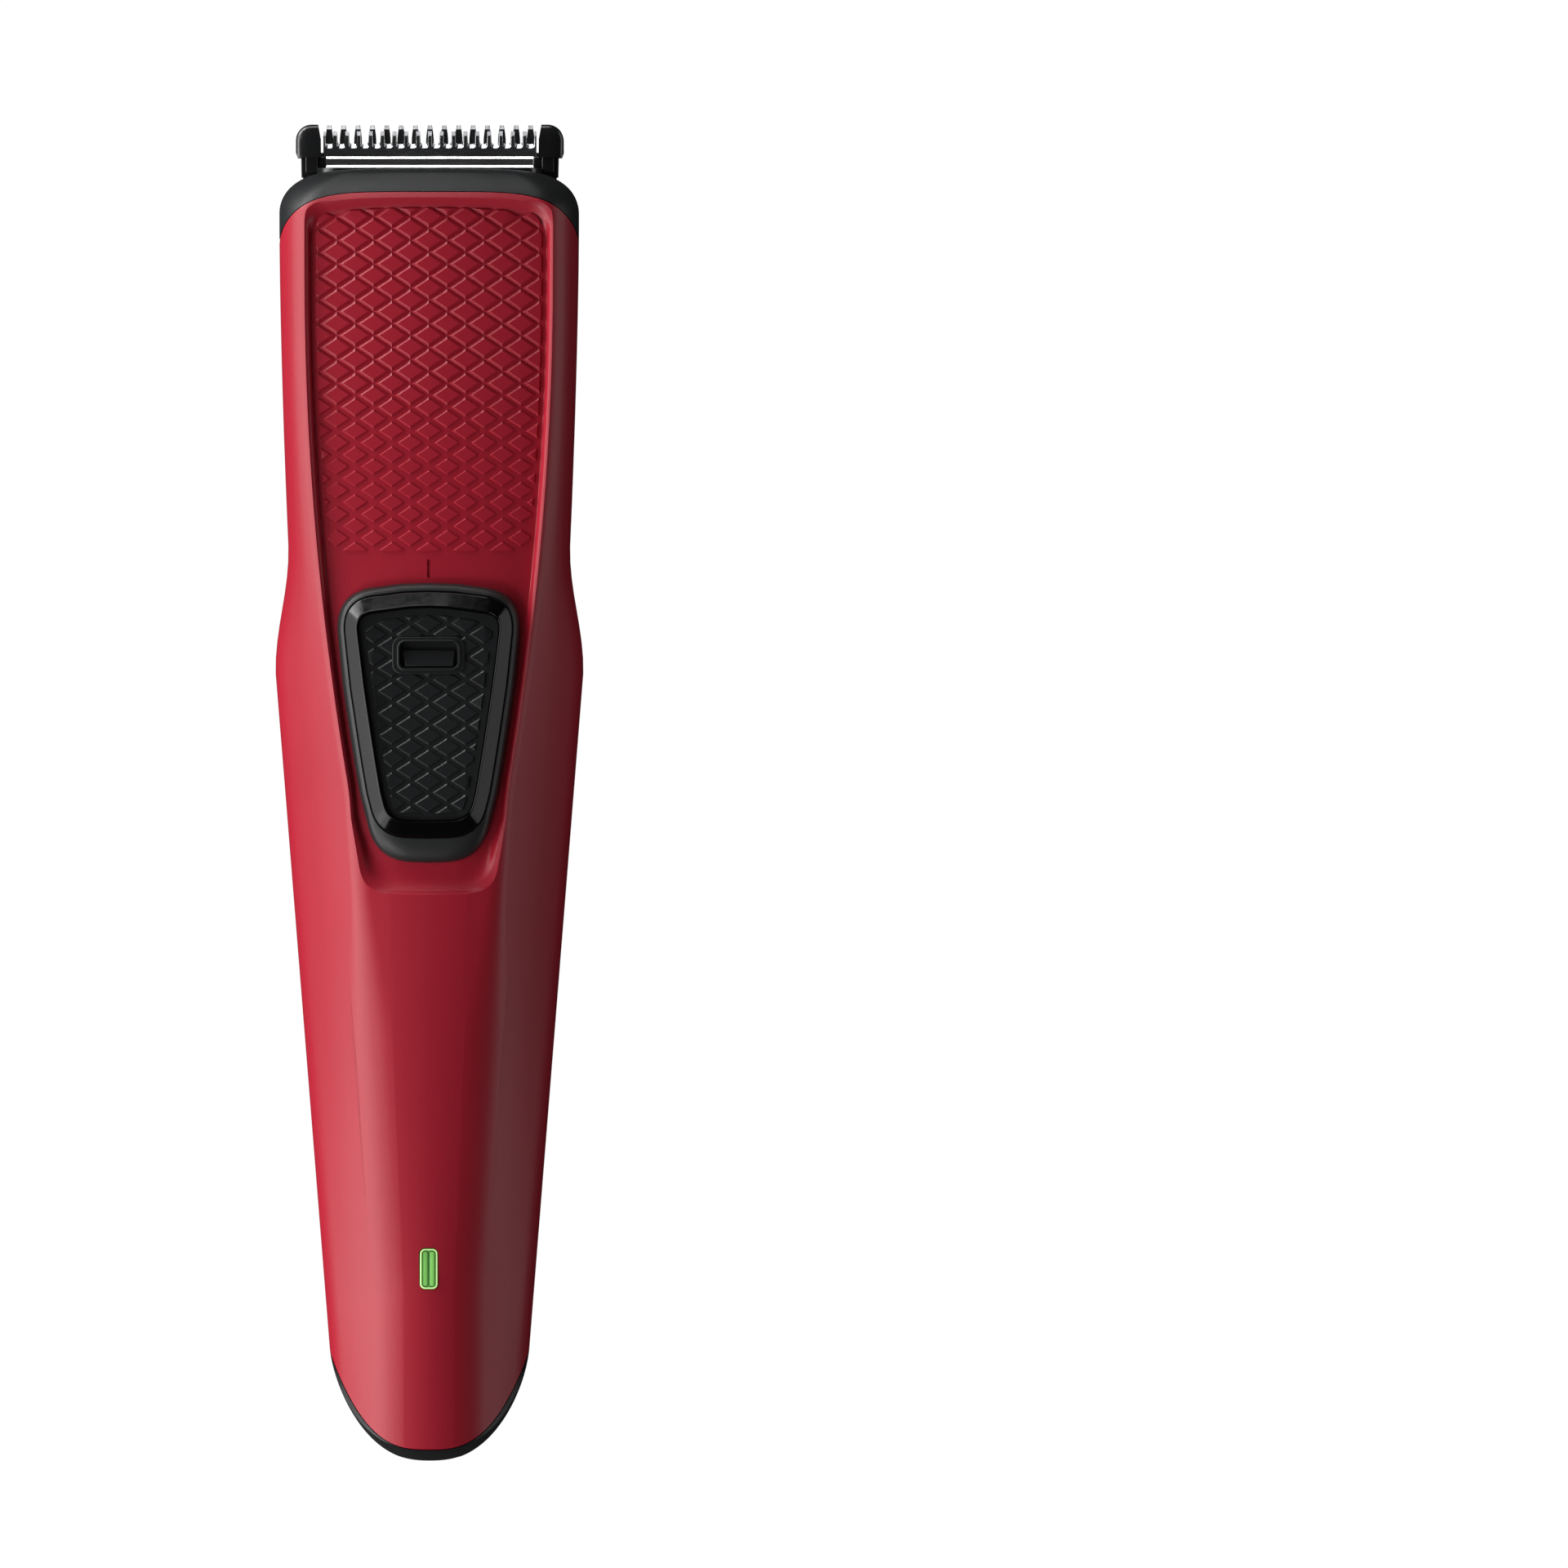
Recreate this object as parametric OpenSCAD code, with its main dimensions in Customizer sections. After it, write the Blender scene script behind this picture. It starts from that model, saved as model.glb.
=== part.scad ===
// Cordless beard trimmer with a detachable blade head.
// The trimmer lies on its back: +X is its right side, +Y runs along it towards the blade,
// and +Z comes out of its front face, where the thumb slider is. All sizes are in millimetres.

/* [Housing] */
// Half of the greatest width, across the swell below the waist
grip_half_w = 18.33; // [17.5:0.01:19.5]
// Height of the front crest above the resting face
front_z = 29; // [28.5:0.1:30]
// Height of the seam between the front and rear housings
seam_z = 17; // [16.8:0.1:17.2]
// Thickness of the housing wall
wall_t = 1.8; // [1.4:0.1:2]
// Depth of the sunk thumb panel below the crest
panel_depth = 1.5; // [1.2:0.1:1.6]
/* [Grip pattern] */
// Distance between diamonds across the panel
diamond_pitch_x = 4.37; // [4:0.01:5]
// Distance between diamonds along the panel
diamond_pitch_y = 2.83; // [2.6:0.01:3.4]
// Height of a raised diamond
diamond_h = 0.3; // [0.1:0.05:0.5]
/* [Blade head] */
// Number of long teeth on the guard
guard_teeth = 15; // [13:2:17]
// Number of short teeth on the moving cutter
cutter_teeth = 19; // [17:2:21]
// Eccentric throw, which is half of the cutter's stroke
throw = 0.6; // [0.4:0.05:0.6]
/* [Slider] */
// Travel of the on and off slider
slider_travel = 3; // [2:0.5:3]
/* [Drive] */
// Diameter of the motor shaft
shaft_d = 2; // [1.5:0.1:2]
// Diameter of the rechargeable cell
cell_d = 14.2; // [13:0.1:14.4]
// Radius of the charging inlet's bore
inlet_r = 1.8; // [1.5:0.1:2.2]

/* [Hidden] */
$fn = 48;
gap = 0.1;                      // sliding and seam gap between neighbouring pieces
end_y = 79.65;                  // half of the whole length
swell_y = 14.5;                 // where the housing is widest
waist_y = 29;                   // where the waist is narrowest
shoulder_y = 69;                // where the rounding of the blade end starts
mouth_y = 74.3;                 // blade end of the housing
tail_y = -66;                   // where the rounding of the tail starts
bend_y = -12;                   // below it the front face slopes gently back
top_half_w = 17.8;              // half width of the shoulder
tail_len = end_y + tail_y;      // length of the rounded tail
tail_z = 12;                    // height at which the tail reaches furthest
inlet_z = tail_z;               // height of the charging inlet
drive_z = 15;                   // height of the motor axis
head_half_w = 15.95;            // half width of the blade head
panel_z = front_z - panel_depth;

// ---- Housing shape: half width, crest, front and back heights along the body ----

function ease(t) = (1 - cos(180 * t)) / 2;
function straight_half_w(y) =
    y < swell_y ? grip_half_w - 0.08 * (swell_y - y) :
    y < waist_y ? grip_half_w - 1.6 * ease((y - swell_y) / (waist_y - swell_y)) :
    top_half_w - 1.07 * pow(max(68 - y, 0) / (68 - waist_y), 1.6);
// How far the sides and the depth have drawn in at the blade end
function past_shoulder(y) = min(max((y - shoulder_y) / (mouth_y - shoulder_y), 0), 1);
function top_side(y) = pow(1 - pow(past_shoulder(y), 2), 0.19);
function top_depth(y) =
    let (s = past_shoulder(y))
    1 - 0.27 * pow(s, 1.5) - 0.12 * pow(max(s - 0.9, 0) / 0.1, 2);
function crest_half_w(y) =
    y > 0 ? 14.45 - 0.00138 * pow(min(y, 62) - 62, 2) : max(9.15 + 0.07 * y, 5);
function front_height(y) = y > bend_y ? front_z : front_z - 0.055 * (bend_y - y);
// The crest grows rounder below the panel
function crest_cut(y) = 1.4 + 1.8 * min(max(bend_y - y, 0) / 20, 1);
// How far the crowned front face has fallen at x
crown = 0.95;
function fall(x, y) = crown * pow(x / crest_half_w(y), 2);
flank_bow = 0.3;                // bulge of the flank between the crest and the side
function back_height(y) =
    y > 30 ? 7 * pow((y - 30) / 44, 1.6) - 0.3 :
    y > -50 ? -0.3 :
    4 * pow((-50 - y) / 30, 1.5) - 0.3;

// Points of a bend at corner b of the path a, b, c, starting and ending "cut" away from b
function bend(a, b, c, cut, n) =
    let (p = b + cut * (a - b) / norm(a - b), q = b + cut * (c - b) / norm(c - b))
    [for (i = [0:n]) let (t = i / n)
        (1 - t) * (1 - t) * p + 2 * t * (1 - t) * b + t * t * q];

// Right half of a cross-section, from the middle of the front to the middle of the back
function half_section(y, t) =
    let (
        w = straight_half_w(y) - t,
        c = min(crest_half_w(y), w - 2) - 0.4 * t,
        zf = front_height(y) - t,
        zb = back_height(y) + t,
        crest = [c, zf - crown],
        brow = [0.6 * c, zf - 0.36 * crown],
        side_top = [w, max(seam_z + 1.8, zf - crown - 1.15 * (w - c))],
        flank = (crest + side_top) / 2 + flank_bow * [0.7, 0.7]
    )
    concat(
        [[0, zf], [0.3 * c, zf - 0.09 * crown]],
        bend(brow, crest, flank, min(crest_cut(y), 0.4 * c), 4),
        [flank],
        bend(flank, side_top, [w, seam_z], 1.6, 3),
        [[w, seam_z]],
        [for (i = [1:7]) let (a = 90 * i / 8)
            [w * pow(cos(a), 0.77), seam_z - (seam_z - zb) * pow(sin(a), 0.77)]],
        [[0, zb]]
    );

// Whole ring of the housing at y, shrunk towards the axis near both ends
function ring(y, t, y_shape) =
    let (
        half = half_section(y, t),
        n = len(half),
        side = top_side(y_shape),
        depth = top_depth(y_shape)
    )
    [for (i = [0 : 2 * n - 3])
        let (p = i < n ? half[i] : [-half[2 * n - 2 - i][0], half[2 * n - 2 - i][1]])
        [p[0] * side, y, drive_z + (p[1] - drive_z) * depth]];

// Stations from tail to mouth: fine at the round end and through the waist
function stations() = concat(
    [-82, -66, -50, -32, -13, -11, -4, 2, 8, 12, 14.5],
    [for (y = [17.5 : 3 : 29.5]) y],
    [34, 40, 46, 53, 60, 66, 69],
    [for (i = [1:6]) shoulder_y + (mouth_y - shoulder_y) * sin(14.8 * i)]
);

// Closed solid through rings of points, each ring with the same number of points
module loft(rings) {
    n = len(rings[0]);
    m = len(rings);
    polyhedron(
        points = [for (r = rings) for (p = r) p],
        faces = concat(
            [[for (i = [0 : n - 1]) i]],
            [for (j = [0 : m - 2]) for (i = [0 : n - 1])
                [j * n + i, (j + 1) * n + i, j * n + (i + 1) % n]],
            [for (j = [0 : m - 2]) for (i = [0 : n - 1])
                [j * n + (i + 1) % n, (j + 1) * n + i, (j + 1) * n + (i + 1) % n]],
            [[for (i = [n - 1 : -1 : 0]) (m - 1) * n + i]]
        )
    );
}

// Plan outline of the tail, whose end is moved in by d; it leaves the rest of the body free
function tail_outline(d) =
    let (
        n = 16,
        side = [for (i = [0 : n]) let (u = sin(90 * i / n))
            [straight_half_w(tail_y - u * tail_len) * pow(max(1 - pow(u, 1.8), 0), 0.42),
             tail_y - u * tail_len + d * (1 - pow(1 - u, 4))]]
    )
    concat(
        [for (i = [0 : n]) [-side[i][0], side[i][1]]],
        [for (i = [n - 1 : -1 : 0]) side[i]],
        [[30, tail_y], [30, 90], [-30, 90], [-30, tail_y]]
    );

// The end wall of the tail leans in above and below its fullest height
module tail_block(t) {
    loft([for (w = [[-1, 2.8], [2, 1.1], [5, 0.3], [tail_z, 0], [17, 0.2], [21, 0.6], [24, 1.15],
                    [25, 1.5], [25.6, 2], [30, 4]])
        at_height(tail_outline(w[1] + t), w[0])]);
}

// Housing body, made smaller by t on every side
module body_solid(t) {
    length_share = (mouth_y + end_y - 2 * t) / (mouth_y + end_y);
    intersection() {
        loft([for (y = stations()) ring((y + end_y) * length_share - end_y + t, t, y)]);
        tail_block(t);
    }
}

// Plan outline of the front housing
function front_edge_top(x) = 65 + 6.4 * pow(max(1 - pow(abs(x) / top_half_w, 5), 0), 0.55);
function front_edge_tail(x) = tail_y - 12 * (1 - pow(abs(x) / 12, 2.8));
module front_plan() {
    steps = 24;
    polygon(concat(
        [for (i = [0 : steps]) let (x = -top_half_w * cos(180 * i / steps)) [x, front_edge_top(x)]],
        [[25, 65], [25, tail_y]],
        [for (i = [0 : steps]) let (x = 12 * cos(180 * i / steps)) [x, front_edge_tail(x)]],
        [[-25, tail_y], [-25, 65]]
    ));
}

// Closed outline from its right half, which runs from the middle of the tail end to the top
function both_sides(right) =
    concat(right, [for (i = [len(right) - 2 : -1 : 1]) [-right[i][0], right[i][1]]]);

// Plan outline of the sunk panel, moved in at its sides, top and bottom
function panel_outline(side, top, bottom) =
    let (
        right = concat(
            [[0, bottom - 11.9]],
            bend([0, bottom - 11.9], [7.1 - side, bottom - 11.7], [crest_half_w(6) - side, 6], 3.4, 5),
            [for (y = [-3 : 6 : 60]) [crest_half_w(y) - side, y]],
            bend([14.45 - side, 60], [14.5 - side, 70.1 - top], [10, 70.5 - top], 3, 4),
            [[8, 70.9 - top], [0, 71.1 - top]]
        )
    )
    both_sides(right);

// Layer of a plan outline at height z
function at_height(outline, z) = [for (p = outline) [p[0], p[1], z]];

// Layer of a plan outline at height z above the crowned panel floor
function on_crown(outline, z) = [for (p = outline) [p[0], p[1], z - fall(p[0], p[1])]];

// The same outline shrunk towards a point on the centre line
function shrunk(outline, share, y) = [for (p = outline) [p[0] * share, y + (p[1] - y) * share]];

module panel_recess() {
    foot = panel_outline(0.7, 1.6, 2.4);
    loft([
        on_crown(shrunk(foot, 0.02, 30), panel_z),
        on_crown(shrunk(foot, 0.35, 30), panel_z),
        on_crown(shrunk(foot, 0.7, 30), panel_z),
        on_crown(foot, panel_z),
        on_crown(panel_outline(0.5, 0.9, 1.2), panel_z + 0.45),
        on_crown(panel_outline(0, 0, 0), front_z),
        on_crown(panel_outline(0, 0, 0), front_z + 2)
    ]);
}

// A diamond stands on the panel where it fits between the side walls
function diamond_fits(x, y, low, high, margin) =
    y > low && y < high && abs(x) + 1.35 < crest_half_w(y) - margin;

module grip_diamonds() {
    rows = 30;
    for (row = [0 : rows], col = [-4 : 4]) {
        x = (col + (row % 2) / 2) * diamond_pitch_x;
        y = 28.9 + row * diamond_pitch_y / 2;
        if (diamond_fits(x, y, 29.5, 68.2, 1.2))
            translate([x, y, panel_z - fall(x, y) - 0.1])
                linear_extrude(diamond_h + 0.1)
                    polygon([[1.35, 0], [0, 0.88], [-1.35, 0], [0, -0.88]]);
    }
}

screw_places = [[12.2, 31.5], [-12.2, 31.5], [10.4, -20], [-10.4, -20]];
screw_seat_z = 7.2;
boss_end_z = 12;
lens_y = -56.5;
lens_size = [2.2, 4.9];

module round_slot(size, r, h) {
    hull()
        for (sx = [-1, 1], sy = [-1, 1])
            translate([sx * (size[0] / 2 - r), sy * (size[1] / 2 - r), 0])
                cylinder(r = r, h = h, $fn = 24);
}

module front_region(extra) {
    translate([0, 0, seam_z])
        linear_extrude(30)
            offset(delta = extra)
                front_plan();
}

module front_housing() {
    color("#b01f33")
        resize([0, 0, 0])
            difference() {
                union() {
                    difference() {
                        intersection() {
                            body_solid(0);
                            front_region(0);
                        }
                        panel_recess();
                        inner_space();
                    }
                    grip_diamonds();
                    intersection() {
                        for (p = screw_places)
                            translate([p[0], p[1], boss_end_z])
                                cylinder(r = 2.3, h = 20, $fn = 24);
                        body_solid(wall_t / 2);
                    }
                }
                for (p = screw_places)
                    translate([p[0], p[1], boss_end_z - 1])
                        cylinder(r = 1.12, h = 8.5, $fn = 24);
                translate([0, 8.5, 20])
                    round_slot([5, 12], 2, 12);
                translate([0, lens_y, 20])
                    round_slot(lens_size, 0.7, 12);
                translate([-0.175, 25.6, panel_z - 0.25])
                    cube([0.35, 2.2, 1]);
            }
}

// Space inside both housings, lower under the panel so that its floor keeps a wall
module inner_space() {
    difference() {
        body_solid(wall_t);
        translate([0, 84, panel_z - 1.3])
            rotate([90, 0, 0])
                linear_extrude(100)
                    polygon(concat(
                        [for (x = [-18 : 3 : 18]) [x, -crown * pow(abs(x) / 13, 3)]],
                        [[18, 10], [-18, 10]]
                    ));
    }
}

module rear_housing() {
    color("#2b2d30")
        difference() {
            resize([0, 0, 0])
                difference() {
                    union() {
                        difference() {
                            body_solid(0);
                            inner_space();
                            front_region(gap);
                        }
                        intersection() {
                            for (p = screw_places)
                                translate([p[0], p[1], 0])
                                    cylinder(r = 3.2, h = boss_end_z, $fn = 24);
                            body_solid(wall_t / 2);
                        }
                    }
                    for (p = screw_places)
                        translate([p[0], p[1], -1]) {
                            cylinder(r = 2.4, h = screw_seat_z + 1, $fn = 24);
                            cylinder(r = 1.25, h = 20, $fn = 24);
                        }
                    head_mouth();
                    comb_notch();
                }
            translate([0, -60, inlet_z])
                rotate([90, 0, 0])
                    cylinder(r = inlet_r + 1.9, h = 30);
            translate([-30, -100, -5])
                cube([60, 200, 5]);
        }
}

// Mouth in the blade end that the blade head plugs into
module head_mouth() {
    translate([0, 85, 16])
        rotate([90, 0, 0])
            round_slot([27.2, 10], 3, 19);
}

// Shallow notch in the back that a guide comb hooks into
module comb_notch() {
    translate([-4.5, 52, 0])
        cube([9, 2, back_height(53) + 1]);
}

module led_lens() {
    color("#8fd06a")
        translate([0, lens_y, 22.9])
            intersection() {
                round_slot([lens_size[0] - gap, lens_size[1] - gap], 0.65, 3.75);
                union() {
                    translate([-2, -3, 0])
                        cube([4, 6, 3.3]);
                    for (sx = [-1, 1])
                        translate([sx * 0.5, 3, 3.2])
                            rotate([90, 0, 0])
                                cylinder(r = 0.5, h = 6);
                }
            }
}

// ---- Slider ----

slider_gap = 0.1;               // between the slider and the panel floor
clip_top_z = panel_z - 1.4;     // top of the clip, just under the panel floor
slider_z = panel_z + slider_gap;
bevel_z = slider_z + 1.2;       // foot of the shiny bevel band
slider_top_z = slider_z + 2.7;
pad_z = slider_top_z - 0.3;

// Plan outline of the slider, moved in at its sides, top and bottom
function slider_outline(side, top, bottom) =
    let (
        right = concat(
            [[0, bottom - 8.5]],
            bend([0, bottom - 8.5], [6.5 - side, bottom - 7.9], [8.2 - side, 0], 2.6, 4),
            [[8.2 - side, 0], [9.35 - side, 7], [10.2 - side, 12.7]],
            bend([10.5 - side, 15], [11.2 - side, 23.6 - top], [0, 25.3 - top], 3.2, 5),
            [[0, 25.1 - top]]
        )
    )
    both_sides(right);

// Layer of the slider at height h above its foot: the foot follows the crowned panel, the top is flat
function slider_layer(outline, h) =
    [for (p = outline)
        [p[0], p[1], slider_z + h - 0.9 * fall(p[0], p[1]) * (1 - h / (slider_top_z - slider_z))]];

module slider_button() {
    foot = slider_outline(0, 0, 0);
    color("#1b1c1e")
        difference() {
            union() {
                loft([
                    slider_layer(shrunk(foot, 0.02, 8), 0),
                    slider_layer(shrunk(foot, 0.35, 8), 0),
                    slider_layer(shrunk(foot, 0.7, 8), 0),
                    slider_layer(foot, 0),
                    slider_layer(slider_outline(0.1, 0.15, 0.6), 0.8),
                    slider_layer(slider_outline(0.8, 1, 3), 1.2),
                    slider_layer(slider_outline(2.4, 2.7, 4.7), 2.7)
                ]);
                translate([-1.9, 5, clip_top_z])
                    cube([3.8, 4, 2]);
            }
            loft([
                at_height(slider_outline(2.6, 2.9, 4.9), bevel_z + 0.2),
                at_height(slider_outline(2.6, 2.9, 4.9), slider_top_z + 1)
            ]);
        }
}

module slider_pad() {
    color("#26282b")
        difference() {
            union() {
                loft([
                    at_height(slider_outline(2.7, 3, 5), bevel_z + 0.2),
                    at_height(slider_outline(2.7, 3, 5), pad_z - 0.25)
                ]);
                intersection() {
                    for (row = [0 : 16], col = [-2 : 2]) {
                        x = (col + (row % 2) / 2) * 4.35;
                        y = -1.2 + row * 1.33;
                        in_window = y > 12.5 && y < 19 && abs(x) < 5.6;
                        if (!in_window)
                            translate([x, y, pad_z - 0.35])
                                linear_extrude(0.35)
                                    polygon([[1.75, 0], [0, 1.08], [-1.75, 0], [0, -1.08]]);
                    }
                    loft([
                        at_height(slider_outline(3.3, 4, 5.6), bevel_z),
                        at_height(slider_outline(3.3, 4, 5.6), slider_top_z)
                    ]);
                }
                translate([0, 16.3, pad_z - 0.35])
                    linear_extrude(0.35)
                        square([8.7, 4.5], center = true);
            }
            translate([-3.4, 14.8, pad_z - 0.9])
                cube([6.8, 3, 2]);
        }
}

// Clip under the panel floor that keeps the slider on, forked over the switch knob
module slider_clip() {
    color("#3a3c40")
        translate([0, 7, clip_top_z])
            difference() {
                translate([-4.5, -5, -0.9])
                    cube([9, 10, 0.9]);
                translate([-1, 3, -2])
                    cube([2, 1.6, 4]);
            }
}

// ---- Electronics ----

board_z = 20;
board_t = 1.2;
board_top = board_z + board_t;
knob_y = 10.8;

module switch_knob() {
    color("#e8e8e4")
        translate([-0.95, knob_y - 0.75, board_top + 2.1])
            cube([1.9, 1.5, 2.6]);
}

module switch_body() {
    color("#9a9da2")
        translate([-3, knob_y - 5, board_top])
            difference() {
                cube([6, 10, 2.8]);
                translate([2, 4.2, 2])
                    cube([2, 1.6 + slider_travel, 2]);
            }
}

module circuit_board() {
    color("#1e6b3c")
        translate([-6, -61, board_z])
            cube([12, 90, board_t]);
}

module board_chip() {
    color("#222326")
        translate([-2.5, -30, board_top])
            cube([5, 4, 1.2]);
}

module board_capacitor() {
    color("#3b4f8a")
        translate([1.5, -16, board_top + 1.5])
            rotate([90, 0, 0])
                cylinder(r = 1.5, h = 5);
}

module board_coil() {
    color("#8a5a2a")
        translate([0, -42, board_top])
            cylinder(r = 2.4, h = 2.4);
}

module indicator_led() {
    color("#f2f2e6")
        translate([-0.8, lens_y - 1.2, board_top])
            cube([1.6, 2.4, 1]);
}

cell_len = 50;
cell_y = -52.4;
cell_z = 5.2 + cell_d / 2;
module battery_cell() {
    color("#2f6db0")
        translate([0, cell_y, cell_z])
            rotate([-90, 0, 0]) {
                cylinder(d = cell_d, h = cell_len - 1);
                cylinder(d = 5, h = cell_len);
            }
}

// Nickel strips from both ends of the cell up to the board
module battery_tabs() {
    color("#c9ccd0") {
        translate([-1.5, cell_y - 0.3, cell_z - 3])
            cube([3, 0.3, board_z - cell_z + 3]);
        translate([-1.5, cell_y + cell_len, cell_z - 2])
            cube([3, 0.3, board_z - cell_z + 2]);
    }
}

module inner_frame() {
    color("#4a4c50") {
        translate([-6, -58, 4])
            cube([12, 100, 1.2]);
        for (sx = [-1, 1])
            translate([sx * 2.5 - 0.5, -46, 1.8])
                cube([1, 76, 2.3]);
        for (y = [-54.2, -0.9])
            translate([-6, y, 4])
                cube([12, 1.2, 8.5]);
        for (sx = [-1, 1], y = [-56.5, 1.8, 27])
            translate([sx * 4.4, y, 4])
                cylinder(r = 1.4, h = board_z - 4);
    }
}

// ---- Drive ----

motor_y = 38.5;                 // tail end of the motor can
motor_len = 25;
can_r = 10.05;
can_flat = 7.5;
shaft_r = shaft_d / 2;

module along_y(y) {
    translate([0, y, drive_z])
        rotate([-90, 0, 0])
            children();
}

module can_section(less) {
    intersection() {
        circle(r = can_r - less);
        square([30, 2 * (can_flat - less)], center = true);
    }
}

module motor_can() {
    color("#b9bcc0")
        along_y(motor_y)
            difference() {
                linear_extrude(motor_len)
                    can_section(0);
                translate([0, 0, -1])
                    linear_extrude(motor_len)
                        can_section(0.7);
                translate([0, 0, motor_len - 3])
                    cylinder(r = shaft_r + 0.05, h = 6);
                for (sx = [-1, 1])
                    translate([sx * 8, 0, motor_len - 3])
                        cylinder(r = 0.97, h = 6);
            }
}

module motor_magnets() {
    color("#3c3e42")
        along_y(motor_y + 3)
            for (a = [0, 180])
                rotate([0, 0, a])
                    linear_extrude(18)
                        intersection() {
                            difference() {
                                can_section(0.72);
                                circle(r = 6.6);
                            }
                            translate([7, -6.2])
                                square([5, 12.4]);
                        }
}

module motor_end_bell() {
    color("#e3e1d8")
        along_y(motor_y - 2.2)
            difference() {
                union() {
                    linear_extrude(2.2)
                        can_section(0);
                    linear_extrude(3.7)
                        can_section(0.75);
                }
                translate([0, 0, 1])
                    cylinder(r = shaft_r + 0.05, h = 5);
                for (sx = [-1, 1])
                    translate([sx * 5 - 1.1, 3.4, -1])
                        cube([2.2, 0.7, 6]);
            }
}

module motor_terminals() {
    color("#c58a3a")
        for (sx = [-1, 1])
            translate([sx * 5 - 1, motor_y - 4.6, drive_z - 4])
                cube([2, 5, 0.5]);
}

module motor_shaft() {
    color("#d6d8db")
        along_y(motor_y - 1.1)
            cylinder(r = shaft_r, h = 32.1);
}

module motor_armature() {
    color("#b3632b")
        along_y(motor_y + 4)
            difference() {
                union() {
                    cylinder(r = 6.3, h = 14);
                    translate([0, 0, -2])
                        cylinder(r = 2.4, h = 17.5);
                }
                translate([0, 0, -5])
                    cylinder(r = shaft_r, h = 30);
            }
}

cam_y = motor_y + motor_len + 3;
pin_r = 0.9;
module eccentric_cam() {
    color("#e9e7df") {
        along_y(cam_y)
            difference() {
                cylinder(r = 3, h = 3);
                translate([0, 0, -1])
                    cylinder(r = shaft_r, h = 6);
            }
        along_y(cam_y + 3)
            cylinder(r = 3, h = 0.6);
        translate([throw, 0, 0])
            along_y(cam_y + 3.6)
                cylinder(r = pin_r, h = 3.6);
    }
}

module drive_cover() {
    color("#303235")
        translate([0, motor_y + motor_len + 2, 16])
            rotate([90, 0, 0])
                difference() {
                    round_slot([25, 15], 4, 2);
                    translate([0, -1, -1])
                        cylinder(r = 3.3, h = 4);
                    for (sx = [-1, 1])
                        translate([sx * 8, -1, -1])
                            cylinder(r = 1.05, h = 4);
                }
}

module motor_screws() {
    color("#a9acb0")
        for (sx = [-1, 1])
            translate([sx * 8, 0, 0]) {
                along_y(motor_y + motor_len - 1.6)
                    cylinder(r = 0.95, h = 3.6);
                along_y(motor_y + motor_len + 2)
                    cylinder(r = 1.7, h = 1);
            }
}

module motor_holder() {
    color("#4a4c50") {
        translate([0, 58, drive_z])
            rotate([90, 0, 0])
                linear_extrude(14)
                    difference() {
                        translate([-11.4, -8.6])
                            square([22.8, 8]);
                        can_section(-0.02);
                        for (sx = [-1, 1])
                            translate([sx * 11.6, -9])
                                rotate([0, 0, sx * 45])
                                    square([3.4, 3.4], center = true);
                    }
        translate([-5, 38.5, 5.2])
            cube([10, 5.5, 1.2]);
        translate([-5, 43.9, 5.2])
            cube([10, 1, 1.3]);
    }
}

// Insulated leads from the board to the motor terminals
module motor_leads() {
    color("#a3222c")
        for (sx = [-1, 1])
            translate([sx * 5, 0, 0]) {
                translate([0, 26.6, board_top + 0.6])
                    rotate([-90, 0, 0])
                        cylinder(r = 0.6, h = 6.4);
                translate([0, 33, board_top + 0.6])
                    sphere(r = 0.6);
                translate([0, 33, drive_z - 4])
                    cylinder(r = 0.6, h = board_top + 4.6 - drive_z);
                translate([0, 33, drive_z - 3.75])
                    rotate([-90, 0, 0])
                        cylinder(r = 0.24, h = 0.9);
            }
}

// ---- Charging inlet ----

socket_y = -78.5;
nose_len = 6;
module charging_socket() {
    color("#17181a")
        translate([0, socket_y, inlet_z])
            rotate([-90, 0, 0])
                difference() {
                    union() {
                        cylinder(r = inlet_r + 1.8, h = nose_len);
                        translate([-4.2, -4, nose_len])
                            cube([8.4, 8, 10]);
                    }
                    translate([0, 0, -1])
                        cylinder(r = inlet_r, h = 13);
                }
}

// Spring contacts with their solder legs, on the inner end of the socket
module socket_contacts() {
    color("#d0b060")
        for (sx = [-1, 1])
            translate([sx * 2.4 - 0.4, socket_y + 16, inlet_z - 0.3])
                cube([0.8, 1.8, 0.6]);
}

module socket_leads() {
    color("#222326")
        for (sx = [-1, 1])
            translate([sx * 2.4, socket_y + 18.4, inlet_z - 0.3])
                cylinder(r = 0.6, h = board_z - inlet_z + 0.3);
}

module housing_screws() {
    color("#8d9095")
        for (p = screw_places)
            translate([p[0], p[1], screw_seat_z - 2])
                difference() {
                    union() {
                        cylinder(r = 2.2, h = 2);
                        translate([0, 0, 2])
                            cylinder(r = 1.1, h = 10.5);
                    }
                    translate([-1.6, -0.3, -0.1])
                        cube([3.2, 0.6, 1]);
                    translate([-0.3, -1.6, -0.1])
                        cube([0.6, 3.2, 1]);
                }
}

// ---- Blade head ----

flange_y = 74.45;
cap_y = 75.7;
cap_inner = 13.38;
guard_z = 12;
guard_t = 0.8;
cutter_z = guard_z + guard_t + 0.05;
cutter_t = 0.5;
lug_z = cutter_z + cutter_t + 0.08;
strip_z = 14.8;

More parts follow.
